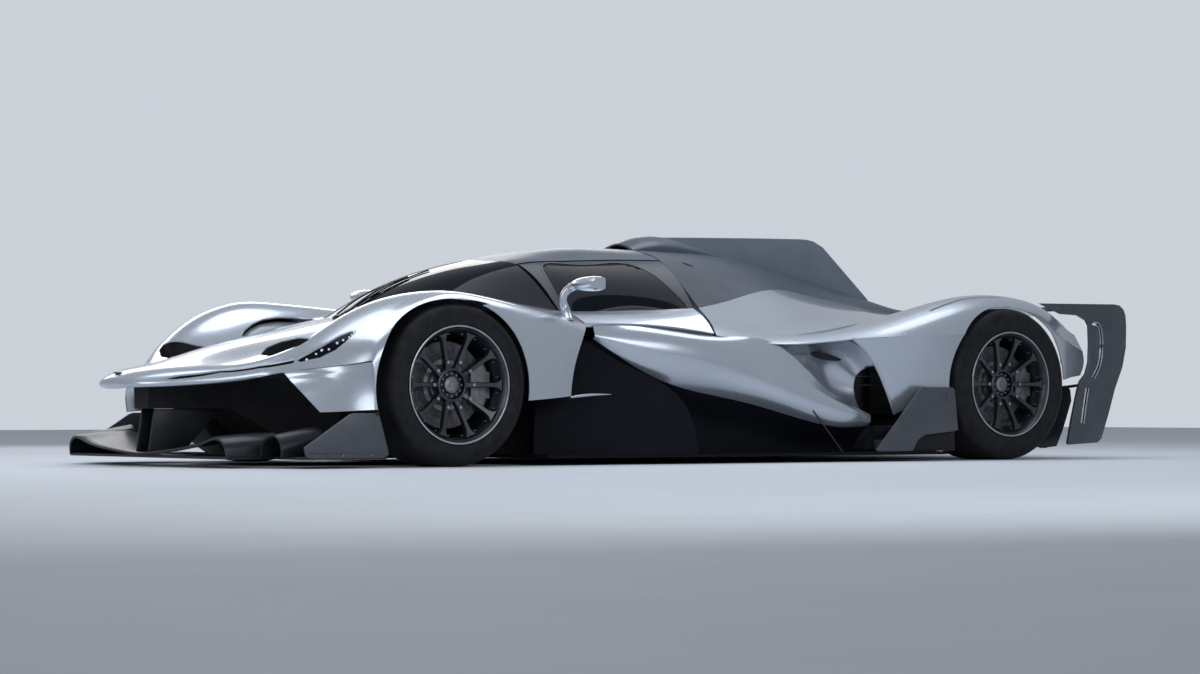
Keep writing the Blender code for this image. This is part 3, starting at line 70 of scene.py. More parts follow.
fenderRows = [
    # inner crown
    [(-.622, .665, -.337), (-.594, .665, -.290), (-.500, .665, -.190), (-.34, .665, -.086),
     (-.17, .668, -.027), (.05, .668, -.016), (.742, .592, -.067)],
    # crown
    [(-.568, .755, -.326), (-.540, .755, -.275), (-.440, .765, -.172), (-.28, .785, -.070),
     (-.12, .800, -.016), (.05, .795, -.003), (.742, .700, -.087)],
    # outer crown
    [(-.507, .850, -.316), (-.476, .850, -.262), (-.385, .860, -.170), (-.24, .872, -.077),
     (-.10, .880, -.024), (.06, .875, -.010), (.742, .790, -.124)],
    # shoulder
    [(-.447, .925, -.302), (-.420, .928, -.250), (-.335, .932, -.175), (-.215, .938, -.098),
     (-.08, .943, -.050), (.10, .938, -.046), (.703, .850, -.163)],
    # side face
    [(-.420, .960, -.310), (-.395, .962, -.300), (-.320, .966, -.280), (-.20, .970, -.260),
     (-.05, .972, -.250), (.22, .960, -.255), (.648, .866, -.280)],
    # lower edge
    [(-.412, .966, -.494), (-.392, .968, -.494), (-.320, .971, -.494), (-.20, .974, -.490),
     (-.05, .975, -.480), (.25, .962, -.462), (.609, .880, -.437)],
]
cheekRows = [
    [(-.650, .640, -.346), (-.570, .755, -.334), (-.507, .848, -.324), (-.400, .950, -.305)],
    [(-.652, .735, -.395), (-.582, .810, -.395), (-.505, .882, -.398), (-.400, .955, -.400)],
    [(-.597, .842, -.504), (-.545, .885, -.502), (-.485, .925, -.498), (-.396, .964, -.494)],
]
canopyRows = [
    # centre line
    [(-.020, 0, .616), (.20, 0, .748), (.41, 0, .834), (.66, 0, .902),
     (.90, 0, .947), (1.12, 0, .968), (1.415, 0, .972)],
    # brow
    [(.012, .195, .620), (.215, .175, .741), (.42, .175, .826), (.67, .180, .894),
     (.90, .190, .939), (1.12, .205, .960), (1.415, .220, .960)],
    # roof rail
    [(.115, .376, .628), (.290, .340, .722), (.465, .325, .797), (.70, .336, .873),
     (.90, .363, .891), (1.12, .392, .9005), (1.415, .430, .906)],
    # middle of the glass
    [(.270, .484, .636), (.405, .455, .702), (.550, .450, .752), (.725, .475, .786),
     (.90, .512, .800), (1.12, .548, .806), (1.415, .590, .800)],
    # belt
    [(.445, .552, .642), (.535, .565, .648), (.625, .582, .654), (.742, .600, .660),
     (.90, .628, .663), (1.12, .662, .670), (1.405, .700, .684)],
]
sillRows = [
    canopyRows[-1][3:],
    [(.742, .700, .642), (.90, .722, .642), (1.12, .760, .640), (1.395, .805, .630)],
    [(.742, .790, .605), (.90, .806, .605), (1.12, .840, .598), (1.385, .878, .565)],
]
windowOutline = [(.780, .680), (.775, .790), (.790, .856), (.950, .878), (1.120, .887), (1.235, .882),
                 (1.300, .840), (1.345, .760), (1.372, .702), (1.100, .690)]
spineRows = [
    # centre line
    [(-1.665, 0, .972), (-1.36, 0, .972), (-.93, 0, .951), (-.63, 0, .892),
     (-.33, 0, .828), (0.0, 0, .755), (.20, 0, .724), (.40, 0, .738)],
    # shoulder of the spine
    [(-1.665, .220, .960), (-1.36, .190, .949), (-.93, .145, .906), (-.63, .120, .850),
     (-.33, .090, .790), (0.0, .055, .728), (.20, .045, .722), (.40, .045, .738)],
    # flank of the spine
    [(-1.665, .430, .906), (-1.36, .350, .876), (-.93, .272, .828), (-.63, .200, .797),
     (-.33, .138, .755), (0.0, .080, .706), (.20, .070, .721), (.40, .070, .738)],
    # edge of the carbon
    [(-1.657, .705, .686), (-1.36, .560, .731), (-.93, .360, .794), (-.63, .255, .772),
     (-.33, .175, .738), (0.0, .100, .700), (.20, .090, .721), (.40, .090, .738)],
]
deckRows = [
    spineRows[-1],
    # deck
    [(-1.667, .760, .655), (-1.36, .700, .655), (-.93, .560, .700), (-.63, .460, .700),
     (-.33, .390, .692), (0.0, .340, .682), (.22, .330, .706), (.40, .330, .728)],
]
rearFenderRows = [
    # inner flank
    [(-1.675, .815, -.155), (-1.36, .800, -.190), (-.93, .735, -.165), (-.63, .670, -.120),
     (-.33, .625, -.070), (0.0, .600, -.045), (.23, .600, -.062), (.41, .600, -.080)],
    # crown
    [(-1.685, .850, -.185), (-1.36, .850, -.215), (-.92, .840, -.180), (-.62, .825, -.120),
     (-.33, .815, -.044), (-.02, .820, 0.0), (.26, .830, -.036), (.44, .830, -.120)],
    # shoulder
    [(-1.692, .872, -.205), (-1.36, .880, -.232), (-.91, .895, -.198), (-.61, .905, -.150),
     (-.33, .912, -.092), (-.02, .918, -.050), (.28, .900, -.085), (.468, .872, -.190)],
    # crease
    [(-1.695, .884, -.213), (-1.37, .898, -.246), (-.907, .930, -.216), (-.60, .956, -.203),
     (-.36, .970, -.192), (-.02, .972, -.165), (.27, .945, -.170), (.500, .888, -.260)],
]
rearWallRows = [
    [(-.950, .927, -.218), (-.60, .956, -.203), (-.36, .970, -.192), (-.02, .972, -.165),
     (.27, .945, -.170), (.500, .888, -.260)],
    [(-.800, .908, -.335), (-.560, .940, -.330), (-.36, .962, -.330), (-.02, .972, -.330),
     (.30, .945, -.330), (.515, .880, -.320)],
    [(-.668, .890, -.560), (-.520, .935, -.500), (-.36, .960, -.460), (-.02, .970, -.430),
     (.34, .935, -.400), (.480, .890, -.375)],
]
ductRows = [
    [(-1.330, .876, -.256), (-1.120, .888, -.240), (-.940, .904, -.232), (-.775, .906, -.336)],
    [(-1.300, .840, -.290), (-1.100, .780, -.300), (-.930, .740, -.320), (-.790, .760, -.390)],
    [(-1.290, .836, -.305), (-1.080, .770, -.385), (-.930, .730, -.450), (-.790, .755, -.480)],
    [(-1.330, .868, -.292), (-1.120, .868, -.420), (-.955, .860, -.510), (-.800, .838, -.566)],
]
scoopSections = [(-1.590, .130, 1.004), (-1.500, .127, 1.033), (-1.370, .111, 1.043), (-1.200, .086, 1.018),
                 (-.980, .062, .966), (-.760, .044, .915), (-.560, .028, .868)]
finOutline = [(-1.400, .985), (-1.400, 1.038), (-1.250, 1.0435), (-1.100, 1.0475), (-.800, 1.0545),
              (-.489, 1.0598), (-.455, 1.0590), (-.410, 1.0520), (-.350, 1.0250), (-.062, .775),
              (-.062, .750), (-.500, .830), (-.800, .880), (-1.100, .940)]
podRows = [
    # upper edge, tucked under the door sill and the crease, then along the outlet
    [("f", .790, .788, .596), ("f", 1.05, .827, .592), ("r", -1.690, .873, .557), ("r", -1.370, .890, .529),
     ("r", -1.13, .900, .362), ("r", -.960, .892, .270), ("r", -.800, .868, .215)],
    # ridge
    [("f", .790, .800, .560), ("f", 1.00, .858, .548), ("f", 1.250, .912, .505), ("f", 1.540, .938, .424),
     ("r", -1.27, .950, .318), ("r", -.970, .932, .224), ("r", -.795, .872, .202)],
    # side
    [("f", .790, .802, .550), ("f", 1.00, .866, .490), ("f", 1.25, .910, .420), ("f", 1.540, .932, .340),
     ("r", -1.27, .940, .252), ("r", -.975, .924, .182), ("r", -.795, .870, .182)],
    # lower edge
    [("f", .790, .790, .540), ("f", 1.00, .834, .410), ("f", 1.24, .848, .326), ("f", 1.540, .868, .270),
     ("r", -1.27, .884, .206), ("r", -1.00, .896, .156), ("r", -.800, .858, .162)],
    # undercut
    [("f", .790, .740, .420), ("f", 1.00, .740, .300), ("f", 1.24, .750, .220), ("f", 1.540, .770, .180),
     ("r", -1.27, .790, .130), ("r", -1.00, .800, .100), ("r", -.810, .810, .108)],
]
bladeRows = [
    [(-.966, .000, .060), (-.86, .000, .074), (-.72, .000, .090)],
    [(-.966, .200, .070), (-.86, .200, .084), (-.72, .200, .100)],
    [(-.964, .380, .086), (-.86, .380, .100), (-.71, .380, .115)],
    [(-.960, .540, .112), (-.85, .540, .124), (-.70, .540, .134)],
    [(-.955, .645, .124), (-.84, .645, .134), (-.69, .645, .140)],
    [(-.950, .690, .098), (-.83, .690, .106), (-.68, .690, .112)],
    [(-.945, .702, .046), (-.82, .702, .046), (-.67, .702, .046)],
]
flapRows = [
    [(-.800, .706, .046), (-.74, .706, .060), (-.62, .706, .090)],
    [(-.800, .722, .100), (-.74, .722, .118), (-.62, .722, .140)],
    [(-.795, .775, .130), (-.73, .775, .142), (-.60, .775, .162)],
    [(-.790, .815, .132), (-.72, .815, .146), (-.59, .815, .168)],
    [(-.785, .845, .105), (-.715, .845, .118), (-.585, .845, .140)],
    [(-.780, .852, .046), (-.71, .852, .048), (-.58, .852, .050)],
]
boardRows = [
    [(.700, .712, .545), (.735, .745, .538), (.775, .778, .528)],
    [(.640, .716, .420), (.760, .775, .430), (.900, .838, .440)],
    [(.560, .720, .300), (.800, .820, .320), (1.110, .915, .325)],
    [(.500, .760, .030), (.860, .905, .030), (1.238, .952, .030)],
]
endPlate = [(.190, .736), (.684, .741), (.718, .736), (.744, .717), (.757, .690), (.7620, .640),
            (.759, .533), (.735, .439), (.684, .334), (.640, .212), (.592, .096), (.565, .077),
            (.374, .068), (.371, .078), (.399, .194), (.437, .327), (.455, .371), (.492, .406),
            (.511, .459), (.516, .548), (.512, .636), (.494, .661), (.439, .684), (.329, .688)]
bonnetVent = [(-.590, .345), (-.520, .275), (-.430, .245), (-.350, .252), (-.330, .300), (-.400, .420),
              (-.470, .560), (-.520, .640), (-.560, .610), (-.600, .510)]
fenderVent = [(-.232, .462), (-.190, .505), (-.130, .540), (-.068, .562), (.020, .568), (.110, .558),
              (.165, .535), (.175, .500), (.060, .470), (-.080, .448), (-.180, .440), (-.225, .445)]
lampSlot = [(-.600, .650), (-.594, .680), (-.545, .755), (-.501, .798), (-.464, .816), (-.420, .826),
            (-.412, .815), (-.423, .799), (-.460, .767), (-.512, .735), (-.558, .694)]


def frontTable(rows, crown=None):
    return [[(frontAxle + x, y, z if crown is None else crown + z) for x, y, z in row] for row in rows]


def rearTable(rows, crown=None):
    return [[(rearAxle + x, y, z if crown is None else crown + z) for x, y, z in row] for row in rows]


def frontLine(line):
    return [(frontAxle + x, z) for x, z in line]


def rearLine(line):
    return [(rearAxle + x, z) for x, z in line]


# Surfaces through tables of points
def splineWeights(knots, places):
    count = len(knots)
    gaps = np.diff(knots)
    system = np.eye(count)
    slopes = np.zeros((count, count))
    for k in range(1, count - 1):
        system[k, k - 1:k + 2] = gaps[k - 1], 2 * (gaps[k - 1] + gaps[k]), gaps[k]
        slopes[k, k - 1:k + 2] = 6 / gaps[k - 1], -6 / gaps[k - 1] - 6 / gaps[k], 6 / gaps[k]
    curvature = np.linalg.solve(system, slopes)
    weights = []
    for place in places:
        k = min(max(int(np.searchsorted(knots, place)) - 1, 0), count - 2)
        after = (place - knots[k]) / gaps[k]
        before = 1 - after
        row = np.zeros(count)
        row[k] += before
        row[k + 1] += after
        row += (before ** 3 - before) * gaps[k] ** 2 / 6 * curvature[k]
        row += (after ** 3 - after) * gaps[k] ** 2 / 6 * curvature[k + 1]
        weights.append(row)
    return np.array(weights)


def knotsOf(table):
    steps = np.linalg.norm(np.diff(table, axis=1), axis=2).mean(axis=0)
    return np.concatenate([[0], np.cumsum(steps)])


def lengthsAlong(points):
    return np.concatenate([[0], np.cumsum(np.linalg.norm(np.diff(points, axis=0), axis=1))])


def placesBetween(knots, steps):
    spread = [np.linspace(a, b, steps, endpoint=False) for a, b in zip(knots, knots[1:])]
    return np.concatenate(spread + [[knots[-1]]])


def turnsOf(count):
    return np.linspace(0, 2 * math.pi, count, endpoint=False)


def surface(table, across, along, back=None):
    table = np.array([[tuple(point) for point in row] for row in table])
    down = knotsOf(table.transpose(1, 0, 2))
    back = knotsOf(table) if back is None else back
    rowWeights = splineWeights(down, placesBetween(down, across))
    columnWeights = splineWeights(back, placesBetween(back, along))
    return np.einsum("ia,jb,abk->ijk", rowWeights, columnWeights, table)


# The same table with its mirror image before it, so that the surface is smooth at the middle
def wholeWidth(table):
    mirrored = [[(x, -y, z) for x, y, z in row] for row in table[:0:-1]]
    return mirrored + [list(map(tuple, row)) for row in table]


def drawBack(grid, edges, gap):
    picks = {"top": (grid[0], grid[1]), "bottom": (grid[-1], grid[-2]), "front": (grid[:, 0], grid[:, 1]),
             "rear": (grid[:, -1], grid[:, -2])}
    for name in edges:
        edge, inner = picks[name]
        inward = inner - edge
        edge += gap * inward / np.linalg.norm(inward, axis=1, keepdims=True)


def addMesh(name, form):
    mesh = bpy.data.meshes.new(name)
    form.to_mesh(mesh)
    form.free()
    mesh.shade_smooth()
    piece = bpy.data.objects.new(name, mesh)
    bpy.context.scene.collection.objects.link(piece)
    return piece


def gridForm(grids, side=1):
    form = bmesh.new()
    for grid in grids:
        rows, columns = grid.shape[:2]
        points = [[form.verts.new((x, y * side, z)) for x, y, z in row] for row in grid]
        for i in range(rows - 1):
            for j in range(columns - 1):
                corners = [points[i][j], points[i][j + 1], points[i + 1][j + 1], points[i + 1][j]]
                form.faces.new(corners if side > 0 else corners[::-1])
    bmesh.ops.remove_doubles(form, verts=form.verts, dist=0.00005)
    return form


def shell(name, grids, wall, side=1, offset=-1.0):
    piece = addMesh(name, gridForm(grids, side))
    step = piece.modifiers.new("wall", "SOLIDIFY")
    step.thickness = wall
    step.offset = offset
    return piece


def prism(name, outline, low, high, plane="XZ"):
    form = bmesh.new()
    low, high = sorted((low, high))
    first, last = [[form.verts.new((a, level, b) if plane == "XZ" else (a, b, level)) for a, b in outline]
                   for level in (low, high)]
    form.faces.new(first)
    form.faces.new(last[::-1])
    for k in range(len(outline)):
        after = (k + 1) % len(outline)
        form.faces.new((first[after], first[k], last[k], last[after]))
    bmesh.ops.recalc_face_normals(form, faces=form.faces)
    return addMesh(name, form)


def rod(name, start, end, radius, endRadius=None, segments=24):
    start, end = Vector(start), Vector(end)
    form = bmesh.new()
    bmesh.ops.create_cone(form, cap_ends=True, segments=segments, radius1=radius,
                          radius2=radius if endRadius is None else endRadius, depth=(end - start).length)
    turn = (end - start).to_track_quat("Z", "Y").to_matrix().to_4x4()
    form.transform(Matrix.Translation((start + end) / 2) @ turn)
    return addMesh(name, form)


def block(name, low, high, bevel=0.0):
    form = bmesh.new()
    bmesh.ops.create_cube(form, size=1.0)
    low, high = Vector(tuple(map(min, low, high))), Vector(tuple(map(max, low, high)))
    form.transform(Matrix.Translation((low + high) / 2) @ Matrix.Diagonal((*(high - low), 1)))
    if bevel:
        bmesh.ops.bevel(form, geom=form.edges, offset=bevel, segments=3, affect="EDGES")
    return addMesh(name, form)


# A closed form through rings of points: capped, or with the last ring joined to the first
def loft(name, rings, closed=False):
    form = bmesh.new()
    drawn = [[form.verts.new(tuple(point)) for point in ring] for ring in rings]
    count = len(drawn[0])
    for first, last in zip(drawn, drawn[1:] + (drawn[:1] if closed else [])):
        for k in range(count):
            after = (k + 1) % count
            form.faces.new((first[k], first[after], last[after], last[k]))
    if not closed:
        form.faces.new(drawn[0][::-1])
        form.faces.new(drawn[-1])
    bmesh.ops.recalc_face_normals(form, faces=form.faces)
    return addMesh(name, form)


# A smooth tube along points, closed at both ends
def tube(name, points, radius, sidesCount=12, steps=6):
    path = np.array(points, float)
    radii = np.array(radius if hasattr(radius, "__len__") else [radius] * len(points))
    if len(points) > 2:
        knots = lengthsAlong(path)
        weights = splineWeights(knots, placesBetween(knots, steps))
        path, radii = weights @ path, weights @ radii
    rings = []
    for k, point in enumerate(path):
        ahead = Vector(path[min(k + 1, len(path) - 1)] - path[max(k - 1, 0)]).normalized()
        across = ahead.cross(Vector((0, 0, 1)))
        across = across.normalized() if across.length > .05 else ahead.cross(Vector((1, 0, 0))).normalized()
        over = across.cross(ahead)
        rings.append([Vector(point) + (across * math.cos(a) + over * math.sin(a)) * radii[k]
                      for a in turnsOf(sidesCount)])
    return loft(name, rings)


# Turned about the wheel's axle; pairs are radius and distance outward from the wheel's middle
def lathe(name, profile, centre, side, steps=96):
    x, y, z = centre
    return loft(name, [[(x + radius * math.cos(a), y + side * out, z + radius * math.sin(a))
                        for a in turnsOf(steps)] for radius, out in profile], True)


def cutBy(piece, *tools, operation="DIFFERENCE"):
    for tool in tools:
        step = piece.modifiers.new("cut", "BOOLEAN")
        step.operation = operation
        step.solver = "EXACT"
        step.object = tool


# Turns a piece with its modifiers into a plain mesh and drops its tools
def settle(piece, finish=None, sharp=40, drop=()):
    bpy.context.view_layer.update()
    evaluated = piece.evaluated_get(bpy.context.evaluated_depsgraph_get())
    mesh = bpy.data.meshes.new_from_object(evaluated)
    form = bmesh.new()
    form.from_mesh(mesh)
    form.transform(piece.matrix_world)
    bmesh.ops.remove_doubles(form, verts=form.verts, dist=0.00002)
    form.to_mesh(mesh)
    form.free()
    mesh.shade_smooth()
    mesh.set_sharp_from_angle(angle=math.radians(sharp))
    piece.modifiers.clear()
    piece.data = mesh
    piece.matrix_world = Matrix.Identity(4)
    if finish:
        mesh.materials.clear()
        mesh.materials.append(finish)
    for tool in drop:
        bpy.data.objects.remove(tool, do_unlink=True)
    return piece


def joined(name, pieces):
    form = bmesh.new()
    finishes = []
    for piece in pieces:
        start = len(form.faces)
        form.from_mesh(piece.data)
        order = []
        for finish in piece.data.materials:
            if finish not in finishes:
                finishes.append(finish)
            order.append(finishes.index(finish))
        form.faces.ensure_lookup_table()
        for face in form.faces[start:]:
            face.material_index = order[min(face.material_index, len(order) - 1)]
        bpy.data.objects.remove(piece, do_unlink=True)
    made = addMesh(name, form)
    for finish in finishes:
        made.data.materials.append(finish)
    made.data.set_sharp_from_angle(angle=math.radians(40))
    return made


# Finishes
def newMaterial(name):
    made = bpy.data.materials.new(name)
    made.use_nodes = True
    return made, made.node_tree, made.node_tree.nodes["Principled BSDF"]


# A new node; each input is linked to a socket or set to a value
def nodeOn(tree, kind, inputs=None, **settings):
    node = tree.nodes.new(kind)
    for name, value in settings.items():
        setattr(node, name, value)
    for socket, value in (inputs or {}).items():
        if isinstance(value, bpy.types.NodeSocket):
            tree.links.new(value, node.inputs[socket])
        else:
            node.inputs[socket].default_value = value
    return node


def setSockets(shader, **values):
    for name, value in values.items():
        shader.inputs[name.replace("_", " ")].default_value = value


def noiseOn(tree, scale, detail=2.0, stretch=None):
    place = nodeOn(tree, "ShaderNodeTexCoord").outputs["Object"]
    if stretch:
        place = nodeOn(tree, "ShaderNodeMapping", {"Vector": place, "Scale": stretch}).outputs["Vector"]
    return nodeOn(tree, "ShaderNodeTexNoise", {"Vector": place, "Scale": scale,
                                               "Detail": detail}).outputs["Fac"]


def roughBetween(tree, shader, source, low, high, start=0.3, end=0.7):
    step = nodeOn(tree, "ShaderNodeMapRange", {"Value": source, "From Min": start, "From Max": end,
                                               "To Min": low, "To Max": high})
    tree.links.new(step.outputs["Result"], shader.inputs["Roughness"])


def bumpFrom(tree, shader, source, strength, distance):
    bump = nodeOn(tree, "ShaderNodeBump", {"Height": source, "Strength": strength, "Distance": distance})
    tree.links.new(bump.outputs["Normal"], shader.inputs["Normal"])


def tintBetween(tree, shader, source, dark, light):
    ramp = nodeOn(tree, "ShaderNodeValToRGB", {"Fac": source})
    for element, place, tint in zip(ramp.color_ramp.elements, (0.35, 0.65), (dark, light)):
        element.position = place
        element.color = (*tint, 1)
    tree.links.new(ramp.outputs["Color"], shader.inputs["Base Color"])


# One recipe for most finishes: two tints mixed by noise, uneven roughness and a fine relief
def finishOf(name, dark, light, rough, metal=0.0, scale=40.0, grain=600.0, relief=0.0002, coat=0.0,
             spread=0.05, stretch=None, coatRough=0.05, shine=.5):
    made, tree, shader = newMaterial(name)
    tintBetween(tree, shader, noiseOn(tree, scale, 3.0, stretch), dark, light)
    fine = noiseOn(tree, grain, 1.0, stretch)
    roughBetween(tree, shader, fine, max(rough - spread, 0.01), rough + spread)
    bumpFrom(tree, shader, fine, 0.25, relief)
    setSockets(shader, Metallic=metal, Coat_Weight=coat, Coat_Roughness=coatRough, Specular_IOR_Level=shine)
    return made


# Twill weave under a satin lacquer
def weaveFinish(name, dark, light, rough, pitch=700.0, metal=.15, coat=.25, shine=.5):
    made, tree, shader = newMaterial(name)
    place = nodeOn(tree, "ShaderNodeTexCoord").outputs["Object"]
    turn = nodeOn(tree, "ShaderNodeMapping", {"Vector": place, "Rotation": (0.0, 0.0, math.radians(45))})
    wave = nodeOn(tree, "ShaderNodeTexWave", {"Vector": turn.outputs["Vector"], "Scale": pitch,
                                              "Distortion": 0.4})
    source = wave.outputs["Fac"]
    mixer = nodeOn(tree, "ShaderNodeMath", {0: source, 1: 0.35, 2: noiseOn(tree, 9.0)},
                   operation="MULTIPLY_ADD")
    tintBetween(tree, shader, mixer.outputs["Value"], dark, light)
    roughBetween(tree, shader, source, rough - 0.05, rough + 0.06, 0.0, 1.0)
    bumpFrom(tree, shader, source, 0.10, 0.0002)
    setSockets(shader, Metallic=metal, Coat_Weight=coat, Coat_Roughness=0.22, Specular_IOR_Level=shine)
    return made


def glassFinish(name, tint, rough, through):
    made, tree, shader = newMaterial(name)
    cloud = noiseOn(tree, 3.0, 1.0)
    tintBetween(tree, shader, cloud, [c * 0.92 for c in tint], tint)
    roughBetween(tree, shader, cloud, rough, rough + 0.02)
    setSockets(shader, IOR=1.40, Transmission_Weight=through, Specular_IOR_Level=.07)
    return made


silverPaint = finishOf("silverPaint", (.46, .50, .56), (.51, .55, .61), .25, .72, 1.5, 1400.0, .00003, .9,
                       .04)
satinCarbon = weaveFinish("satinCarbon", (.028, .038, .055), (.048, .063, .088), .40)
darkCarbon = weaveFinish("darkCarbon", (.006, .007, .011), (.011, .013, .019), .36, 700.0, .10, .12, .32)
plateCarbon = weaveFinish("plateCarbon", (.036, .041, .051), (.058, .066, .081), .40)
# Carbon tinted lighter for the fin: a painted sheen
sheenFinCarbon = weaveFinish("sheenFinCarbon", (.105, .130, .168), (.140, .170, .212), .42)
rubber = finishOf("rubber", (.007, .007, .008), (.014, .014, .016), .60, 0.0, 20.0, 900.0, .0004, 0.0, .10,
                  shine=.18)
wheelMetal = finishOf("wheelMetal", (.040, .044, .052), (.070, .075, .086), .34, .85, 14.0, 900.0, .00005,
                      .2)
rimLip = finishOf("rimLip", (.34, .36, .40), (.46, .48, .52), .26, .95, 14.0, 900.0, .00005)
discCarbon = finishOf("discCarbon", (.050, .050, .056), (.110, .110, .118), .48, .45, 60.0, 700.0, .0003,
                      stretch=(1, .2, 1))
castAlloy = finishOf("castAlloy", (.16, .165, .18), (.26, .27, .29), .46, .85, 30.0, 500.0, .0002)
paleMetal = finishOf("paleMetal", (.42, .44, .48), (.56, .58, .62), .24, .95, 20.0, 900.0, .00005)
# Near-black: the tub's finish, and painted shade on the sheets, sleeves, plugs and panels set behind
# openings
innerBlack = finishOf("innerBlack", (.004, .004, .005), (.009, .009, .011), .85, .0, 25.0, 800.0, .0003)
boardBlack = weaveFinish("boardBlack", (.0025, .003, .006), (.005, .006, .010), .65, 700.0, .0, .0, .10)
blackTrim = finishOf("blackTrim", (.006, .006, .008), (.014, .015, .018), .42, .0, 25.0, 800.0, .0002)
blackSuede = finishOf("blackSuede", (.010, .010, .012), (.024, .024, .028), .92, 0.0, 60.0, 1500.0, .0006)
lampRed = finishOf("lampRed", (.16, .004, .004), (.32, .012, .012), .2, 0.0, 120.0, 900.0, .0001, .8)
darkGlass = glassFinish("darkGlass", (.004, .006, .010), .03, .10)
dotLight = finishOf("dotLight", (.80, .86, .95), (.92, .95, 1.0), .15, 0.0, 160.0, 900.0, .0001, .8)
mirrorGlass = finishOf("mirrorGlass", (.74, .77, .80), (.80, .82, .85), .04, 1.0, 60.0, 900.0, .00001, .2,
                       .01)
print("finishes made")

# CAD nodes that keep their own shape get a finish
nodeFinishes = {"tub": innerBlack, "floor": boardBlack, "engine": castAlloy, "dashboard": blackSuede,
                "diffuser": darkCarbon, "rear_lamp": lampRed}
for end in ("front", "rear"):
    for label, side in sides:
        nodeFinishes["upright_%s_%s" % (end, label)] = castAlloy
        nodeFinishes["suspension_%s_%s" % (end, label)] = darkCarbon
for nodeName, finish in nodeFinishes.items():
    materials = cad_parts[nodeName].data.materials
    materials.clear()
    materials.append(finish)


# Repeats, as node trees
def treeWith(name, sockets):
    tree = bpy.data.node_groups.new(name, "GeometryNodeTree")
    tree.interface.new_socket("Geometry", in_out="INPUT", socket_type="NodeSocketGeometry")
    for label, kind in sockets:
        tree.interface.new_socket(label, in_out="INPUT", socket_type=kind)
    tree.interface.new_socket("Geometry", in_out="OUTPUT", socket_type="NodeSocketGeometry")
    entry = tree.nodes.new("NodeGroupInput")
    result = tree.nodes.new("NodeGroupOutput")
    return tree, entry, result


def closeTree(tree, entry, result, geometry):
    real = nodeOn(tree, "GeometryNodeRealizeInstances", {"Geometry": geometry})
    paint = nodeOn(tree, "GeometryNodeSetMaterial", {"Geometry": real.outputs["Geometry"],
                                                     "Material": entry.outputs["Finish"]})
    tree.links.new(paint.outputs["Geometry"], result.inputs["Geometry"])
    return tree


# The piece repeated around the Y axis
def makeRingTree():
    tree, entry, result = treeWith("ringRepeat", (("Count", "NodeSocketInt"), ("Turn", "NodeSocketFloat"),
                                                  ("Finish", "NodeSocketMaterial")))
    points = nodeOn(tree, "GeometryNodePoints", {"Count": entry.outputs["Count"]})
    order = nodeOn(tree, "GeometryNodeInputIndex").outputs["Index"]
    share = nodeOn(tree, "ShaderNodeMath", {0: order, 1: entry.outputs["Count"]}, operation="DIVIDE")
    angle = nodeOn(tree, "ShaderNodeMath", {0: share.outputs["Value"], 1: 2 * math.pi,
                                            2: entry.outputs["Turn"]}, operation="MULTIPLY_ADD")
    spin = nodeOn(tree, "ShaderNodeCombineXYZ", {"Y": angle.outputs["Value"]})
    copies = nodeOn(tree, "GeometryNodeInstanceOnPoints", {"Points": points.outputs["Points"],
                                                           "Instance": entry.outputs["Geometry"],
                                                           "Rotation": spin.outputs["Vector"]})
    return closeTree(tree, entry, result, copies.outputs["Instances"])


# The piece repeated at every vertex of a guide
def makeGuideTree():
    tree, entry, result = treeWith("guideRepeat", (("Guide", "NodeSocketObject"),
                                                   ("Size Spread", "NodeSocketFloat"),
                                                   ("Seed", "NodeSocketInt"),
                                                   ("Finish", "NodeSocketMaterial")))
    guide = nodeOn(tree, "GeometryNodeObjectInfo", {"Object": entry.outputs["Guide"]},
                   transform_space="RELATIVE")
    vary = nodeOn(tree, "FunctionNodeRandomValue", {"Seed": entry.outputs["Seed"]})
    low = nodeOn(tree, "ShaderNodeMath", {0: 1.0, 1: entry.outputs["Size Spread"]}, operation="SUBTRACT")
    floats = [socket for socket in vary.inputs if socket.type == "VALUE"]
    tree.links.new(low.outputs["Value"], floats[0])
    floats[1].default_value = 1.0
    copies = nodeOn(tree, "GeometryNodeInstanceOnPoints", {
        "Points": guide.outputs["Geometry"], "Instance": entry.outputs["Geometry"],
        "Scale": [socket for socket in vary.outputs if socket.type == "VALUE"][0]})
    return closeTree(tree, entry, result, copies.outputs["Instances"])


ringTree = makeRingTree()
guideTree = makeGuideTree()


def repeated(piece, tree, values, finish, sharp=35, drop=()):
    step = piece.modifiers.new("repeat", "NODES")
    step.node_group = tree
    named = {item.name: item.identifier for item in tree.interface.items_tree if item.in_out == "INPUT"}
    for label, value in values.items():
        step[named[label]] = value
    step[named["Finish"]] = finish
    made = settle(piece, None, sharp, drop)
    if finish.name not in made.data.materials:
        made.data.materials.append(finish)
    return made


def guideOf(name, points):
    mesh = bpy.data.meshes.new(name)
    mesh.from_pydata([tuple(point) for point in points], [], [])
    piece = bpy.data.objects.new(name, mesh)
    bpy.context.scene.collection.objects.link(piece)
    return piece


def movedTo(piece, place):
    piece.data.transform(Matrix.Translation(place))
    return piece


def given(piece, body, slotName, *nodes):
    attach(piece, body)
    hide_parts(*nodes)
    return piece


# Front body
frontSizes = {"archX": -.035, "archZ": .315, "archRadius": .375, "tyreRoom": .349, "steer": 14,
              "lineWidth": .0035, "slitWidth": .013, "slitLow": .36, "ventLow": .412, "lip": .012,
              "tipLip": .030, "shadeSheet": .022, "shadeSheetWall": .003}


def cylinderAcross(name, centre, low, high, radius, turn=0.0, pivotY=0.0):
    start = Vector((0, low - pivotY, 0))
    end = Vector((0, high - pivotY, 0))
    spin = Matrix.Rotation(math.radians(turn), 3, "Z")
    pivot = Vector((centre[0], pivotY, centre[1]))
    return rod(name, pivot + spin @ start, pivot + spin @ end, radius, segments=96)


def planCutter(name, outline, side, low=frontSizes["ventLow"], high=1.1):
    return prism(name, [(frontAxle + x, side * y) for x, y in outline], low, high, "XY")


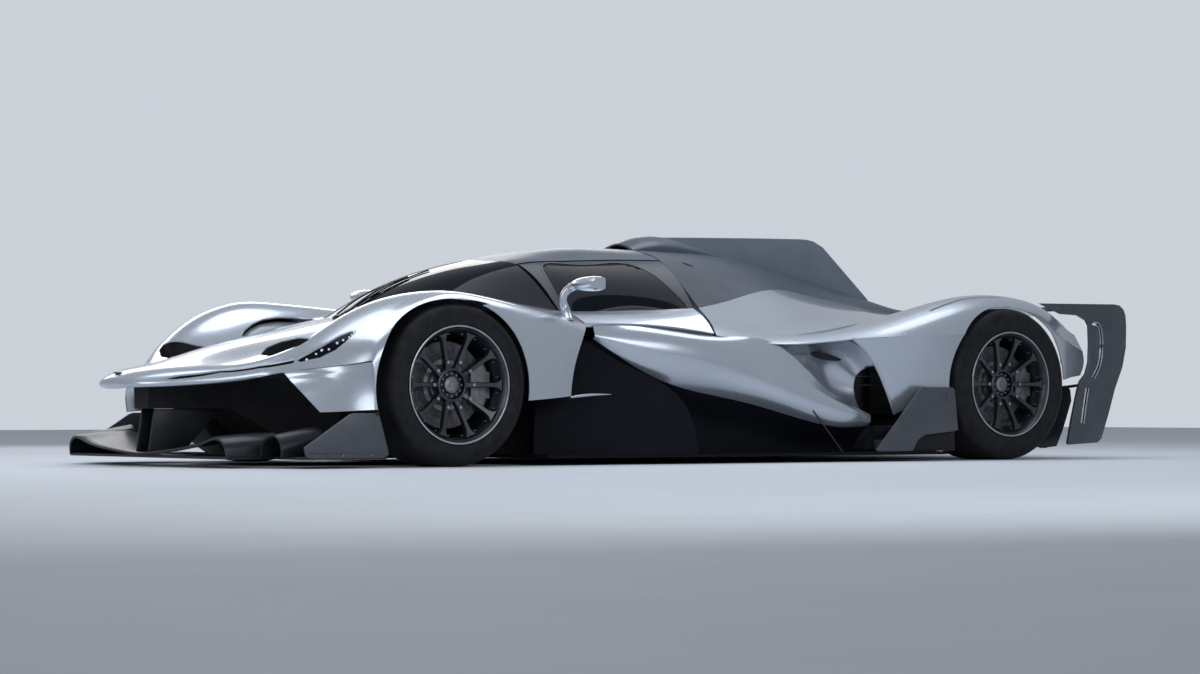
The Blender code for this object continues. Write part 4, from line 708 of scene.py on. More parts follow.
def doorCutter(name, side):
    beltX = frontAxle + .742 - .005
    railX = frontAxle + .679 - .005
    outline = [(beltX, .30), (beltX, .66), (railX, .98), (frontAxle + 1.60, .98), (frontAxle + 1.60, .30)]
    return prism(name, outline, side * .335, side * 1.235)


noseTable = frontTable(noseRows) + frontTable(fenderRows, frontCrown)
noseGrid = surface(wholeWidth(noseTable), 7, 9)
cheekGrid = surface(frontTable(cheekRows, frontCrown), 8, 8)
cheekGrid[0] += [-.002, .004, .005]
cheekGrid[1:4] += [-.001, .002, .002]
# Lines cut in the skins: places along and across the car from the front axle
slitLine = [(-.994, .238), (-.930, .282), (-.803, .390), (-.690, .520), (-.636, .597), (-.604, .648)]
fenderLine = [(-.262, .858), (-.180, .853), (-.070, .862), (.010, .868), (.060, .870)]


def stripOutline(points, width):
    line = np.array(points)
    ahead = np.gradient(line, axis=0)
    across = np.stack([-ahead[:, 1], ahead[:, 0]], axis=1)
    across *= width / 2 / np.linalg.norm(across, axis=1, keepdims=True)
    return [tuple(row) for row in np.concatenate([line + across, (line - across)[::-1]])]


# Room for the front tyre, straight and at both steering limits
def steerRooms(name, side, outer):
    return [cylinderAcross(name, (frontAxle, frontRadius), side * .643, side * outer,
                           frontSizes["tyreRoom"], turn, side * .740)
            for turn in (-frontSizes["steer"], 0, frontSizes["steer"])]


def frontOpenings(tag, side):
    cutters = [cylinderAcross(tag + "Arch", (frontAxle + frontSizes["archX"], frontSizes["archZ"]),
                              side * .90, side * 1.2, frontSizes["archRadius"])]
    cutters += steerRooms(tag + "Room", side, .967)
    for outline in (bonnetVent, fenderVent, lampSlot, stripOutline(fenderLine, frontSizes["lineWidth"])):
        cutters.append(planCutter(tag + "Vent", outline, side))
    cutters.append(planCutter(tag + "Slit", stripOutline(slitLine, frontSizes["slitWidth"]), side,
                              frontSizes["slitLow"]))
    cutters.append(doorCutter(tag + "Door", side))
    return cutters


# The front edge turned down in a round lip, blunt at the nose's tip and fading out towards the lamps
def rollFront(grid, radius, tipRadius, until=.60):
    edge, inner = grid[:, 0].copy(), grid[:, 6].copy()
    ahead = edge - inner
    ahead /= np.linalg.norm(ahead, axis=1, keepdims=True)
    up = np.array([0, 0, 1.0]) - ahead * ahead[:, 2:3]
    up /= np.linalg.norm(up, axis=1, keepdims=True)
    share = np.clip((until - np.abs(edge[:, 1:2])) / .12, 0, 1)
    size = radius + (tipRadius - radius) * np.exp(-(edge[:, 1:2] / .13) ** 2)
    for column, angle in enumerate(np.radians((120, 92, 62, 32, 4))):
        rolled = edge - ahead * size - up * size + size * (ahead * math.sin(angle) + up * math.cos(angle))
        grid[:, column] += share * (rolled - grid[:, column])
    grid[:, 5] += share * ((grid[:, 4] + grid[:, 6]) / 2 - grid[:, 5])


noseGridDrawn = noseGrid.copy()
rollFront(noseGridDrawn, frontSizes["lip"], frontSizes["tipLip"])
noseGridDrawn[30:-30, -1] += 1.6 * (noseGridDrawn[30:-30, -1] - noseGridDrawn[30:-30, -2])
frontSkin = shell("frontSkin", [noseGridDrawn], skinWall)
tools = []
for label, side in sides:
    cheek = shell("cheek" + label, [cheekGrid], skinWall, side)
    cutBy(frontSkin, cheek, operation="UNION")
    tools.append(cheek)
for label, side in sides:
    opened = frontOpenings(label, side)
    cutBy(frontSkin, *opened)
    tools += opened
settle(frontSkin, silverPaint, 32, tools)
given(frontSkin, "chassis", "silver_paint", "front_clamshell")

# Near-black sheet under the nose and fenders, seen through the vents and the slit: painted shade inside the
# body
shadeSheetGrid = noseGrid[:, 3:-2].copy()
shadeSheetGrid[:, :, 2] -= frontSizes["shadeSheet"]
shadeSheet = shell("noseLiner", [shadeSheetGrid], frontSizes["shadeSheetWall"])
tools = []
for label, side in sides:
    tools += steerRooms("linerRoom", side, 1.1)
    tools.append(doorCutter("linerDoor", side))
cutBy(shadeSheet, *tools)
settle(shadeSheet, innerBlack, 32, tools)
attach(shadeSheet, "chassis")
print("front body made")


# Canopy
canopySizes = {"railRow": 48, "doorColumn": 30, "wall": .020, "glass": .005, "gap": .005, "railGap": .008,
               "flushGap": .0008, "seal": .0075}
canopyGrid = surface(wholeWidth(frontTable(canopyRows)), 8, 10)
railRow, doorColumn = canopySizes["railRow"], canopySizes["doorColumn"]


def canopyPart(rows, columns):
    return canopyGrid[rows, columns].copy()


screenGrid = canopyPart(slice(None), slice(0, doorColumn + 1))
screenGrid[:, 0] -= 3.0 * (screenGrid[:, 1] - screenGrid[:, 0])
drawBack(screenGrid, ["rear"], canopySizes["flushGap"])
windscreen = shell("screenGlass", [screenGrid], canopySizes["glass"])
tools = [doorCutter("screenDoor", side) for label, side in sides]
cutBy(windscreen, *tools)
settle(windscreen, darkGlass, 50, tools)
given(windscreen, "chassis", "dark_glass", "windscreen")

roofGrid = canopyPart(slice(64 - railRow, railRow + 1), slice(doorColumn, None))
drawBack(roofGrid, ["rear"], canopySizes["flushGap"])
drawBack(roofGrid, ["top", "bottom"], canopySizes["railGap"])
roofSkin = shell("roofSkin", [roofGrid], canopySizes["wall"])
settle(roofSkin, satinCarbon, 32)
given(roofSkin, "chassis", "satin_carbon", "roof")

windowLine = frontLine(windowOutline)


def roundedOutline(outline, steps=8):
    points = np.array(outline + outline[:1])
    knots = lengthsAlong(points)
    around = np.concatenate([points[-4:-1], points, points[1:4]])
    spread = np.concatenate([knots[-4:-1] - knots[-1], knots, knots[1:4] + knots[-1]])
    return [tuple(row) for row in splineWeights(spread, placesBetween(knots, steps)[:-1]) @ around]


def grownOutline(outline, grow):
    points = np.array(outline)
    ahead = np.roll(points, -1, axis=0) - np.roll(points, 1, axis=0)
    x, y = points.T
    turn = np.sign(np.sum(x * np.roll(y, -1) - np.roll(x, -1) * y))
    out = np.stack([ahead[:, 1], -ahead[:, 0]], axis=1) * turn
    return [tuple(row) for row in points + grow * out / np.linalg.norm(out, axis=1, keepdims=True)]


paneLine = roundedOutline(windowLine)
for label, side in sides:
    body = "door_" + label
    upper = canopyPart(slice(railRow, None), slice(doorColumn, None))
    lower = surface(frontTable(sillRows), 8, 10)
    lower[0] = upper[-1]
    drawBack(upper, ["top"], canopySizes["railGap"])
    drawBack(upper, ["front", "rear"], canopySizes["gap"])
    drawBack(lower, ["bottom", "front", "rear"], canopySizes["gap"])
    frameSkin = shell("doorFrame" + label, [upper], canopySizes["wall"], side)
    low, high = side * .25, side * .95
    hole = prism("windowHole" + label, paneLine, low, high)
    cutBy(frameSkin, hole)
    settle(frameSkin, darkCarbon, 32, [hole])
    given(frameSkin, body, "satin_carbon", "door_" + label)
    doorSkin = shell("doorSkin" + label, [lower], canopySizes["wall"], side)
    settle(doorSkin, silverPaint, 32)
    given(doorSkin, body, "silver_paint")
    pane = shell("doorPane" + label, [upper], canopySizes["glass"], side)
    fitted = prism("paneRoom" + label, grownOutline(paneLine, -.0007), low, high)
    cutBy(pane, fitted, operation="INTERSECT")
    settle(pane, darkGlass, 50, [fitted])
    given(pane, body, "dark_glass", "door_glass_" + label)
    # Seal round the pane, drawn on the door's own surface
    seal = shell("paneSeal" + label, [upper], canopySizes["seal"], side, -.70)
    outer = prism("sealOuter" + label, grownOutline(paneLine, .007), low, high)
    inner = prism("sealInner" + label, grownOutline(paneLine, -.001), low, high)
    cutBy(seal, outer, operation="INTERSECT")
    cutBy(seal, inner)
    settle(seal, blackTrim, 40, [outer, inner])
    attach(seal, body)
print("canopy and doors made")


# Rear body
rearSizes = {"archX": -.020, "archZ": .346, "archRadius": .372, "tyreRoom": .366, "gap": .005,
             "flushGap": .0008, "slit": .014}
rearKnots = np.array([-1.67, -1.36, -.93, -.63, -.33, 0.0, .24, .42]) + 1.67
deckTable = rearTable(deckRows) + rearTable(rearFenderRows, rearCrown)
spineGrid = surface(wholeWidth(rearTable(spineRows)), 10, 8, rearKnots)
deckGrid = surface(deckTable, 10, 8, rearKnots)
wallGrid = surface(rearTable(rearWallRows, rearCrown), 8, 10)
for k, reach in ((-1, .032), (-2, .022), (-3, .012), (-4, .005)):
    wallGrid[:, k, 0] += reach
    deckGrid[-12:, k, 0] += reach

coverGrid = spineGrid.copy()
drawBack(coverGrid, ["front"], rearSizes["gap"])
drawBack(coverGrid, ["top", "bottom"], rearSizes["flushGap"])
engineCover = shell("engineCover", [coverGrid], skinWall)
tools = []
for label, side in sides:
    oval = [(rearAxle + (-1.437 + .034 * math.cos(a)), side * (.345 + .013 * math.sin(a)))
            for a in turnsOf(24)]
    tools.append(prism("coverVent" + label, oval, .70, 1.05, "XY"))
cutBy(engineCover, *tools)
settle(engineCover, satinCarbon, 32, tools)
given(engineCover, "chassis", "satin_carbon", "engine_cover")

deckSlitLine = [(-.423, .861), (-.320, .851), (-.220, .845), (-.097, .853), (.030, .862)]
halves = []
for label, side in sides:
    top = deckGrid.copy()
    drawBack(top, ["front"], rearSizes["gap"])
    drawBack(top, ["top"], rearSizes["flushGap"])
    half = shell("rearSkin" + label, [top], skinWall, side)
    wall = shell("rearWall" + label, [wallGrid], skinWall, side)
    cutBy(half, wall, operation="UNION")
    arch = cylinderAcross("rearArch" + label, (rearAxle + rearSizes["archX"], rearSizes["archZ"]),
                          side * .90, side * 1.2, rearSizes["archRadius"])
    room = cylinderAcross("rearRoom" + label, (rearAxle, rearRadius), side * .613, side * .967,
                          rearSizes["tyreRoom"])
    cutBy(half, arch, room)
    slit = prism("deckSlit" + label, stripOutline([(rearAxle + x, side * y) for x, y in deckSlitLine],
                                                  rearSizes["slit"]), .60, 1.0, "XY")
    cutBy(half, slit)
    settle(half, silverPaint, 32, [wall, arch, room, slit])
    halves.append(half)
rearSkin = joined("rearSkin", halves)
rearSkin.data.materials.append(silverPaint)
given(rearSkin, "chassis", "silver_paint", "rear_clamshell")


# Intake scoop and fin
scoopSizes = {"foot": .930, "leastHeight": .050, "wall": .008, "mouthFoot": .978, "finWall": .012}


def scoopLoft(name, sections, foot, inset):
    table = np.array(sections)
    knots = np.concatenate([[0], np.cumsum(np.diff(table[:, 0]))])
    fine = splineWeights(knots, placesBetween(knots, 8)) @ table
    rings = []
    for x, half, top in fine:
        half = max(half - inset, .003)
        top -= inset
        low = min(foot, top - scoopSizes["leastHeight"])
        ring = [(-half, low), (half, low)]
        for k in range(13):
            angle = math.pi * k / 12
            ring.append((half * (1 - .38 * math.sin(angle) ** 2) * math.cos(angle),
                         low + (top - low) * (.45 + .55 * math.sin(angle))))
        rings.append([(rearAxle + x, y, z) for y, z in ring])
    return loft(name, rings)


scoop = scoopLoft("scoopFin", scoopSections, scoopSizes["foot"], 0.0)
throatSections = [(-1.72, .104, .992)] + [(x, half * .80, top) for x, half, top in scoopSections[:3]]
throat = scoopLoft("scoopThroat", throatSections, scoopSizes["mouthFoot"], scoopSizes["wall"])
finLine = rearLine(finOutline)
fin = prism("finPlate", finLine, -scoopSizes["finWall"] / 2, scoopSizes["finWall"] / 2)
edges = fin.modifiers.new("edges", "BEVEL")
edges.width = .004
edges.segments = 3
cutBy(scoop, throat)
settle(scoop, satinCarbon, 35, [throat])
# The fin's lighter carbon carries a painted sheen
settle(fin, sheenFinCarbon, 35)
given(joined("airboxFin", [scoop, fin]), "chassis", "satin_carbon", "airbox_fin")


# Sidepods, outlet ducts and boards
podSizes = {"floorTop": .044, "skinRows": 31, "undercutIn": .0065, "deckRoom": .012, "board": .006}
axles = {"f": frontAxle, "r": rearAxle}
podTable = [[(axles[end] + x, y, z) for end, x, y, z in row] for row in podRows]
podTable.append([(x, .770, .030) for x, y, z in podTable[-1]])
podGrid = surface(podTable, 10, 10)
ductGrid = surface(rearTable(ductRows, rearCrown), 8, 10)
boardGrid = surface(frontTable(boardRows), 10, 12)
for label, side in sides:
    ground = block("ground" + label, (-3, -1.5, -.5), (3, 1.5, podSizes["floorTop"] + .0003))
    deckRoom = shell("deckRoom" + label, [deckGrid[-16:]], podSizes["deckRoom"], side)
    pod = shell("podSkin" + label, [podGrid[:podSizes["skinRows"]]], skinWall, side)
    cutBy(pod, deckRoom)
    settle(pod, silverPaint, 32, [deckRoom])
    given(pod, "chassis", "silver_paint", "sidepod_" + label)
    # The undercut below the pod takes the near-black board finish: dark carbon, standing in also for the
    # shade under the pod
    lowGrid = podGrid[podSizes["skinRows"] - 1:] - [0, podSizes["undercutIn"], 0]
    undercut = shell("undercut" + label, [lowGrid], skinWall, side)
    cutBy(undercut, ground)
    settle(undercut, boardBlack, 32)
    given(undercut, "chassis", "dark_carbon")
    duct = shell("ductSkin" + label, [ductGrid], skinWall, side)
    settle(duct, silverPaint, 32)
    given(duct, "chassis", "cast_grey", "outlet_duct_" + label)
    board = shell("sideBoard" + label, [boardGrid], podSizes["board"], side)
    cutBy(board, ground)
    settle(board, boardBlack, 32, [ground])
    given(board, "chassis", "dark_carbon", "side_board_" + label)
print("rear body made")


# Lamps: a dark cover over each slot with a row of light points under it
lampSizes = {"coverDrop": .0085, "coverWall": .003, "dotDrop": .0035, "dots": 9}
coverGrid = noseGrid.copy()
coverGrid[:, :, 2] -= lampSizes["coverDrop"]


def onNose(x, y, drop=0.0):
    flat = noseGrid.reshape(-1, 3)
    near = np.argmin((flat[:, 0] - frontAxle - x) ** 2 + (flat[:, 1] - y) ** 2)
    return Vector(flat[near]) - Vector((0, 0, drop))


for label, side in sides:
    cover = shell("lampCover" + label, [coverGrid], lampSizes["coverWall"])
    room = planCutter("lampRoom" + label, grownOutline(lampSlot, .004), side)
    cutBy(cover, room, operation="INTERSECT")
    settle(cover, darkGlass, 40, [room])
    line = np.array([(-.575, .700), (-.530, .748), (-.485, .787), (-.445, .808), (-.422, .818)])
    knots = np.arange(5.0)
    spots = splineWeights(knots, np.linspace(0, 4, lampSizes["dots"])) @ line
    dot = bmesh.new()
    bmesh.ops.create_uvsphere(dot, u_segments=16, v_segments=10, radius=.0062)
    dots = addMesh("lampDots" + label, dot)
    guide = guideOf("lampPlaces" + label, [onNose(x, side * y, lampSizes["dotDrop"]) for x, y in spots])
    repeated(dots, guideTree, {"Guide": guide, "Size Spread": .25, "Seed": 4}, dotLight, 35, [guide])
    given(joined("headlamp" + label, [cover, dots]), "chassis", "lamp_clear", "headlamp_" + label)


# Front wing
wingSizes = {"wall": .012, "flapWall": .0095, "ledgeLow": .036, "ledgeHigh": .047, "plateY": .955,
             "plate": .010}


def bevelled(piece, width, segments=3):
    step = piece.modifiers.new("edges", "BEVEL")
    step.width = width
    step.segments = segments
    step.limit_method = "ANGLE"
    step.angle_limit = math.radians(35)
    return piece


def wingPiece(name, rows, wall, side=0):
    table = frontTable(rows)
    grid = surface(wholeWidth(table) if not side else table, 8, 8)
    grid[:, 0] -= [0, 0, wall * .35]
    return shell(name, [grid], wall, side or 1)


parts = []
blade = wingPiece("wingBlade", bladeRows, wingSizes["wall"])
parts.append(settle(bevelled(blade, .003), darkCarbon, 35))
lip = block("wingLip", (frontAxle - .945, -.700, wingSizes["ledgeLow"]),
            (frontAxle - .730, .700, wingSizes["ledgeHigh"]), .003)
parts.append(settle(lip, darkCarbon, 35))
for label, side in sides:
    flap = wingPiece("wingFlap" + label, flapRows, wingSizes["flapWall"], side)
    parts.append(settle(bevelled(flap, .0025), darkCarbon, 35))
    pylonLine = [(-.955, .060), (-.780, .072), (-.620, .2395), (-.930, .2395)]
    middle = side * .055
    pylon = prism("wingPylon" + label, frontLine(pylonLine), middle - .006, middle + .006)
    parts.append(settle(bevelled(pylon, .0035), darkCarbon, 35))
    ledge = block("wingLedge" + label, (frontAxle - .742, side * .540, wingSizes["ledgeLow"]),
                  (frontAxle - .350, side * .959, wingSizes["ledgeHigh"]), .003)
    parts.append(settle(ledge, darkCarbon, 35))
    plateLine = [(-.738, .085), (-.728, .046), (-.700, .040), (-.372, .040), (-.345, .052), (-.349, .075),
                 (-.388, .208), (-.402, .2215), (-.508, .2215), (-.530, .2150)]
    plate = prism("wingPlate" + label, frontLine(plateLine),
                  side * (wingSizes["plateY"] - wingSizes["plate"] / 2),
                  side * (wingSizes["plateY"] + wingSizes["plate"] / 2))
    parts.append(settle(bevelled(plate, .0022), plateCarbon, 35))
    creaseLine = [(frontAxle + x, side * .9605, .060) for x in (-.724, -.540, -.360)]
    crease = tube("wingCrease" + label, creaseLine, .0022, 8, 4)
    parts.append(settle(crease, plateCarbon, 35))
    for k, x in enumerate((-.690, -.560, -.430)):
        parts.append(settle(rod("plateBolt%d" % k + label, (frontAxle + x, side * .958, .052),
                                (frontAxle + x, side * .9635, .052), .0045, segments=6), castAlloy))
given(joined("frontWing", parts), "chassis", "dark_carbon", "front_wing")
print("lamps and front wing made")


# Plates ahead of the rear wheels
for label, side in sides:
    line = [(-.577, .337), (-.393, .337), (-.380, .325), (-.360, .140), (-.395, .134), (-.560, .120),
            (-.603, .100), (-.640, .0455), (-.850, .0455), (-.856, .055), (-.600, .318)]
    deflector = prism("deflector" + label, rearLine(line), side * .974, side * .984)
    settle(bevelled(deflector, .0022), plateCarbon, 35)
    foot = block("deflectorFoot" + label, (rearAxle - .853, side * .958, .0447),
                 (rearAxle - .640, side * .982, .0520), .002)
    settle(foot, darkCarbon, 35)
    parts = [deflector, foot]
    for x, z in ((-.800, .060), (-.700, .060), (-.560, .300), (-.420, .300)):
        parts.append(settle(rod("deflectorBolt" + label, (rearAxle + x, side * .983, z),
                                (rearAxle + x, side * .9870, z), .0045, segments=6), castAlloy))
    # A near-black panel behind the deflector's notch: painted shade where the floor would show
    deflectorShadeLine = [(-.660, .0455), (-.360, .0455), (-.362, .150), (-.590, .150)]
    back = prism("deflectorBack" + label, rearLine(deflectorShadeLine), side * .950, side * .958)
    parts.append(settle(back, innerBlack, 35))
    given(joined("rearDeflector" + label, parts), "chassis", "dark_carbon", "rear_deflector_" + label)


# Rear wing, its end plates and the curved fences
rearWingSizes = {"half": .940, "plateIn": .004, "plateOut": .014, "slot": .011}
section = [(.450, .7215), (.457, .7275), (.480, .7305), (.500, .7310), (.600, .7310), (.650, .7300),
           (.660, .7280), (.660, .7255), (.600, .7215), (.500, .7165), (.465, .7155), (.452, .7180)]
span = rearWingSizes["half"] - .001
parts = [settle(prism("wingPlane", rearLine(section), -span, span), darkCarbon, 30)]
slots = ([(.534, .644), (.570, .640), (.586, .610), (.592, .531), (.573, .442), (.535, .385)],
         [(.497, .336), (.480, .256), (.464, .168)])
for label, side in sides:
    low, high = sorted((side * (rearWingSizes["half"] - rearWingSizes["plateIn"]),
                        side * (rearWingSizes["half"] + rearWingSizes["plateOut"])))
    outline = rearLine(endPlate)
    plate = prism("endPlate" + label, outline, low, high)
    tools = []
    for k, line in enumerate(slots):
        strip = stripOutline(rearLine(line), rearWingSizes["slot"])
        tools.append(prism("plateSlot%d" % k + label, strip, low - .02, high + .02))
    cutBy(plate, *tools)
    settle(bevelled(plate, .003), plateCarbon, 35, tools)
    parts.append(plate)
    for k, line in enumerate(slots):
        for shift in (-.0080, .0080):
            around = stripOutline(rearLine(line), 2 * shift)[:len(line)]
            rim = tube("slotRim%d" % k + label, [(x, side * .9545, z) for x, z in around], .0028, 8, 5)
            parts.append(settle(rim, paleMetal, 40))
    for x, z in ((.300, .716), (.680, .716), (.735, .560), (.640, .300), (.575, .110)):
        parts.append(settle(rod("plateStud" + label, (rearAxle + x, side * .952, z),
                                (rearAxle + x, side * .9565, z), .005, segments=6), castAlloy))
given(joined("rearWing", parts), "chassis", "dark_carbon", "rear_wing")
for label, side in sides:
    line = [(.230, .062), (.304, .052), (.392, .060), (.430, .130), (.462, .205), (.491, .278),
            (.484, .330), (.458, .350), (.405, .345), (.385, .270), (.340, .150), (.290, .090)]
    fence = prism("rearFence" + label, rearLine(line), side * .846, side * .854)
    settle(bevelled(fence, .002), darkCarbon, 35)
    brace = block("fenceBrace" + label, (rearAxle + .405, side * .770, .236),
                  (rearAxle + .445, side * .8465, .252), .002)
    settle(brace, darkCarbon, 35)
    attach(joined("fence" + label, [fence, brace]), "chassis")
for label, side in sides:
    stay = tube("tailStay" + label, [(rearAxle + .436, side * .850, .340),
                                     (rearAxle + .470, side * .937, .352)], .007, 12)
    socket = rod("tailSocket" + label, (rearAxle + .430, side * .860, .467),
                 (rearAxle + .430, side * .9040, .467), .019, .017)
    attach(joined("tailFittings" + label, [settle(stay, blackTrim), settle(socket, blackTrim)]),
                    "chassis")
print("rear wing made")


# Mirrors: a curved stalk and a drop-shaped pod with a flat glass
for label, side in sides:
    foot = onNose(.678, side * .800)
    stalkLine = [(.655, .768, .672), (.645, .772, .716), (.662, .790, .750), (.672, .835, .766)]
    stalkLine = [(foot.x, foot.y, foot.z - .012)] + [(frontAxle + x, side * y, z) for x, y, z in stalkLine]
    stalk = tube("mirrorStalk" + label, stalkLine, [.024, .0190, .0170, .0180, .0200], 20, 8)
    settle(stalk, silverPaint, 40)
    rings = []
    for y, long, high in ((.790, .012, .008), (.797, .024, .017), (.815, .036, .023), (.855, .047, .029),
                          (.900, .050, .032), (.945, .050, .032), (.970, .047, .030), (.9845, .043, .027)):
        ring = []
        for a in turnsOf(28):
            ahead = -math.cos(a)
            reach = long * ahead if ahead < 0 else min(long * ahead, .024)
            ring.append((frontAxle + .690 + reach, side * y, .768 + high * math.sin(a)))
        rings.append(ring)
    pod = settle(loft("mirrorPod" + label, rings), silverPaint, 40)
    glass = block("mirrorPane" + label, (frontAxle + .7130, side * .838, .7470),
                  (frontAxle + .7152, side * .962, .7890), .0008)
    settle(glass, mirrorGlass, 35)
    base = settle(rod("mirrorBase" + label, (foot.x, foot.y, foot.z - .006),
                      (foot.x, foot.y, foot.z + .0035), .024, .020), silverPaint, 35)
    given(joined("mirror" + label, [stalk, pod, glass, base]), "chassis", "silver_paint", "mirror_" + label)


# Wiper on the windscreen's middle line
wiperSizes = {"foot": .12, "steps": 22, "boss": .011}


def onScreen(share, across=0, lift=0.0):
    place = share * wiperSizes["steps"]
    k = int(place)
    row = canopyGrid[32 + across]
    point = row[k] + (row[k + 1] - row[k]) * (place - k)
    along = row[k + 1] - row[k]
    up = np.array([-along[2], 0, along[0]]) / np.hypot(along[0], along[2])
    return tuple(point + up * lift)


armLine = [onScreen(share, 0, lift) for share, lift in ((wiperSizes["foot"], .006), (.30, .012),
                                                        (.60, .0125), (.78, .010))]
arm = tube("wiperArm", armLine, [.0055, .0050, .0042, .0036], 10, 6)
blade = tube("wiperBlade", [onScreen(share, 0, .0045) for share in (.22, .55, 1.0)], .0034, 8, 8)
hub = onScreen(wiperSizes["foot"], 0, .004)
boss = rod("wiperBoss", (hub[0], 0, hub[2] - .002), (hub[0], 0, hub[2] + .010), wiperSizes["boss"], .009)
linkLine = [onScreen(.10, 3, .006), onScreen(.28, 3, .011), onScreen(.46, 2, .0115),
            onScreen(.60, 0, .0125)]
second = tube("wiperLink", linkLine, [.0045, .0040, .0034, .0030], 8, 6)
base = onScreen(0)
rings = []
for step, half, rise in ((-.105, .026, .006), (-.088, .044, .022), (-.040, .050, .030), (.004, .050, .034),
                         (.020, .040, .030)):
    seat = onNose(base[0] + step, 0, .006)[2] if step < 0 else base[2] - .004
    rings.append([(base[0] + step, half * math.cos(a), seat + rise * math.sin(a))
                  for a in np.linspace(0, math.pi, 15)])
cowl = loft("wiperCowl", rings)
parts = [settle(arm, blackTrim), settle(second, blackTrim), settle(blade, rubber), settle(boss, blackTrim)]
parts.append(settle(cowl, darkCarbon, 50))
given(joined("wiperSet", parts), "chassis", "dark_carbon", "wiper")
print("mirrors and wiper made")


# Openings on the fenders, the outlet's fins and the small rods
ventSizes = {"panelDrop": .030, "panelWall": .004, "sleeveDrop": .0056, "sleeveDepth": .085,
             "sleeveWall": .006}
for label, side in sides:
    panelGrid = noseGrid.copy()
    panelGrid[:, :, 2] -= ventSizes["panelDrop"]
    panel = shell("ventPanel" + label, [panelGrid], ventSizes["panelWall"])
    room = planCutter("ventRoom" + label, grownOutline(fenderVent, .012), side)
    cutBy(panel, room, operation="INTERSECT")
    settle(panel, silverPaint, 32, [room])
    rimLine = [onNose(x, side * y, .004) for x, y in grownOutline(roundedOutline(fenderVent, 2), .001)]
    rim = tube("ventRim" + label, [tuple(point) for point in rimLine + rimLine[:1]], .0042, 8, 3)
    settle(rim, blackTrim, 40)
    parts = [panel, rim]
    for line in (((-.120, .470), (-.060, .500), (.020, .515)), ((.000, .480), (.070, .500), (.120, .530))):
        pipe = tube("ventPipe" + label, [onNose(x, side * y, .018) for x, y in line], .006, 10, 5)
        parts.append(settle(pipe, castAlloy))
    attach(joined("fenderVent" + label, parts), "chassis")
    lipLine = [tuple(point * (1, side, 1)) for point in wallGrid[::4, 0]]
    parts = [settle(tube("outletLip" + label, lipLine, .0055, 10, 4), silverPaint, 40)]
    for k, z in enumerate((.345, .385, .425)):
        outletFin = block("outletFin%d" % k + label, (rearAxle - .790, side * .700, z),
                          (rearAxle - .690, side * .850, z + .004), .001)
        parts.append(settle(outletFin, blackTrim, 35))
    # A near-black plug in the outlet's mouth: painted shade inside the opening
    hole = loft("outletHole" + label, [[(rearAxle - 1.004 + .075 * math.cos(a) * s,
                                         side * y + side * .02 * math.cos(a) * s,
                                         .476 - .016 * math.cos(a) * s + .013 * math.sin(a) * s)
                                        for a in turnsOf(24)] for y, s in ((.770, .9), (.806, 1.0))])
    parts.append(settle(hole, innerBlack, 40))
    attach(joined("outletParts" + label, parts), "chassis")
    stay = tube("podStay" + label, [(frontAxle + 1.862, side * .937, .262),
                                    (frontAxle + 2.046, side * .957, .045)], .0035, 10)
    shelfLine = [(.606, .881, .287), (.700, .872, .296), (.835, .858, .300)]
    shelf = tube("openingLip" + label, [(frontAxle + x, side * y, z) for x, y, z in shelfLine],
                 [.0050, .0065, .0015], 12, 6)
    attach(settle(stay, blackTrim), "chassis")
    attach(settle(shelf, silverPaint), "chassis")

# Near-black sleeves under the bonnet vents: painted shade inside the openings
for label, side in sides:
    deepGrid = noseGrid[:, 4:-2].copy()
    deepGrid[:, :, 2] -= ventSizes["sleeveDrop"]
    shadeSleeve = shell("ventSleeve" + label, [deepGrid], ventSizes["sleeveDepth"])
    around = grownOutline(roundedOutline(bonnetVent, 2), ventSizes["sleeveWall"])
    keep = planCutter("sleeveKeep" + label, around, side, .30)
    hollow = planCutter("sleeveHollow" + label, roundedOutline(bonnetVent, 2), side, .25)
    cutBy(shadeSleeve, keep, operation="INTERSECT")
    cutBy(shadeSleeve, hollow)
    settle(shadeSleeve, innerBlack, 40, [keep, hollow])
    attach(shadeSleeve, "chassis")
badge = block("badgeRecess", (frontAxle - 1.080, -.022, .384), (frontAxle - 1.050, .022, .3905), .002)
settle(badge, blackTrim, 35)
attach(badge, "chassis")


# Seats: a thin moulded shell with sewn pads
seatSizes = {"y": .250, "wall": .010, "pad": .020, "channels": 11}
seatPath = np.array([(.605, .185), (.700, .168), (.850, .150), (.960, .146), (1.010, .190), (1.050, .310),
                     (1.085, .450), (1.120, .590), (1.150, .690), (1.190, .780)])
seatHalf = [.165, .178, .188, .192, .190, .186, .186, .180, .150, .115]


def seatGrid(side, lift, rows=73, columns=33):
    knots = lengthsAlong(seatPath)
    weights = splineWeights(knots, np.linspace(0, knots[-1], rows))
    path = weights @ seatPath
    half = weights @ np.array(seatHalf)
    along = np.gradient(path, axis=0)
    along /= np.linalg.norm(along, axis=1, keepdims=True)
    up = np.stack([-along[:, 1], along[:, 0]], axis=1)
    across = np.linspace(-1, 1, columns)
    grid = np.zeros((rows, columns, 3))
    bolster = .060 * np.abs(across) ** 4
    for i in range(rows):
        raised = bolster + lift(i / (rows - 1), across)
        grid[i, :, 0] = frontAxle + path[i, 0] + up[i, 0] * raised
        grid[i, :, 1] = side * seatSizes["y"] + across * half[i]
        grid[i, :, 2] = path[i, 1] + up[i, 1] * raised
    return grid


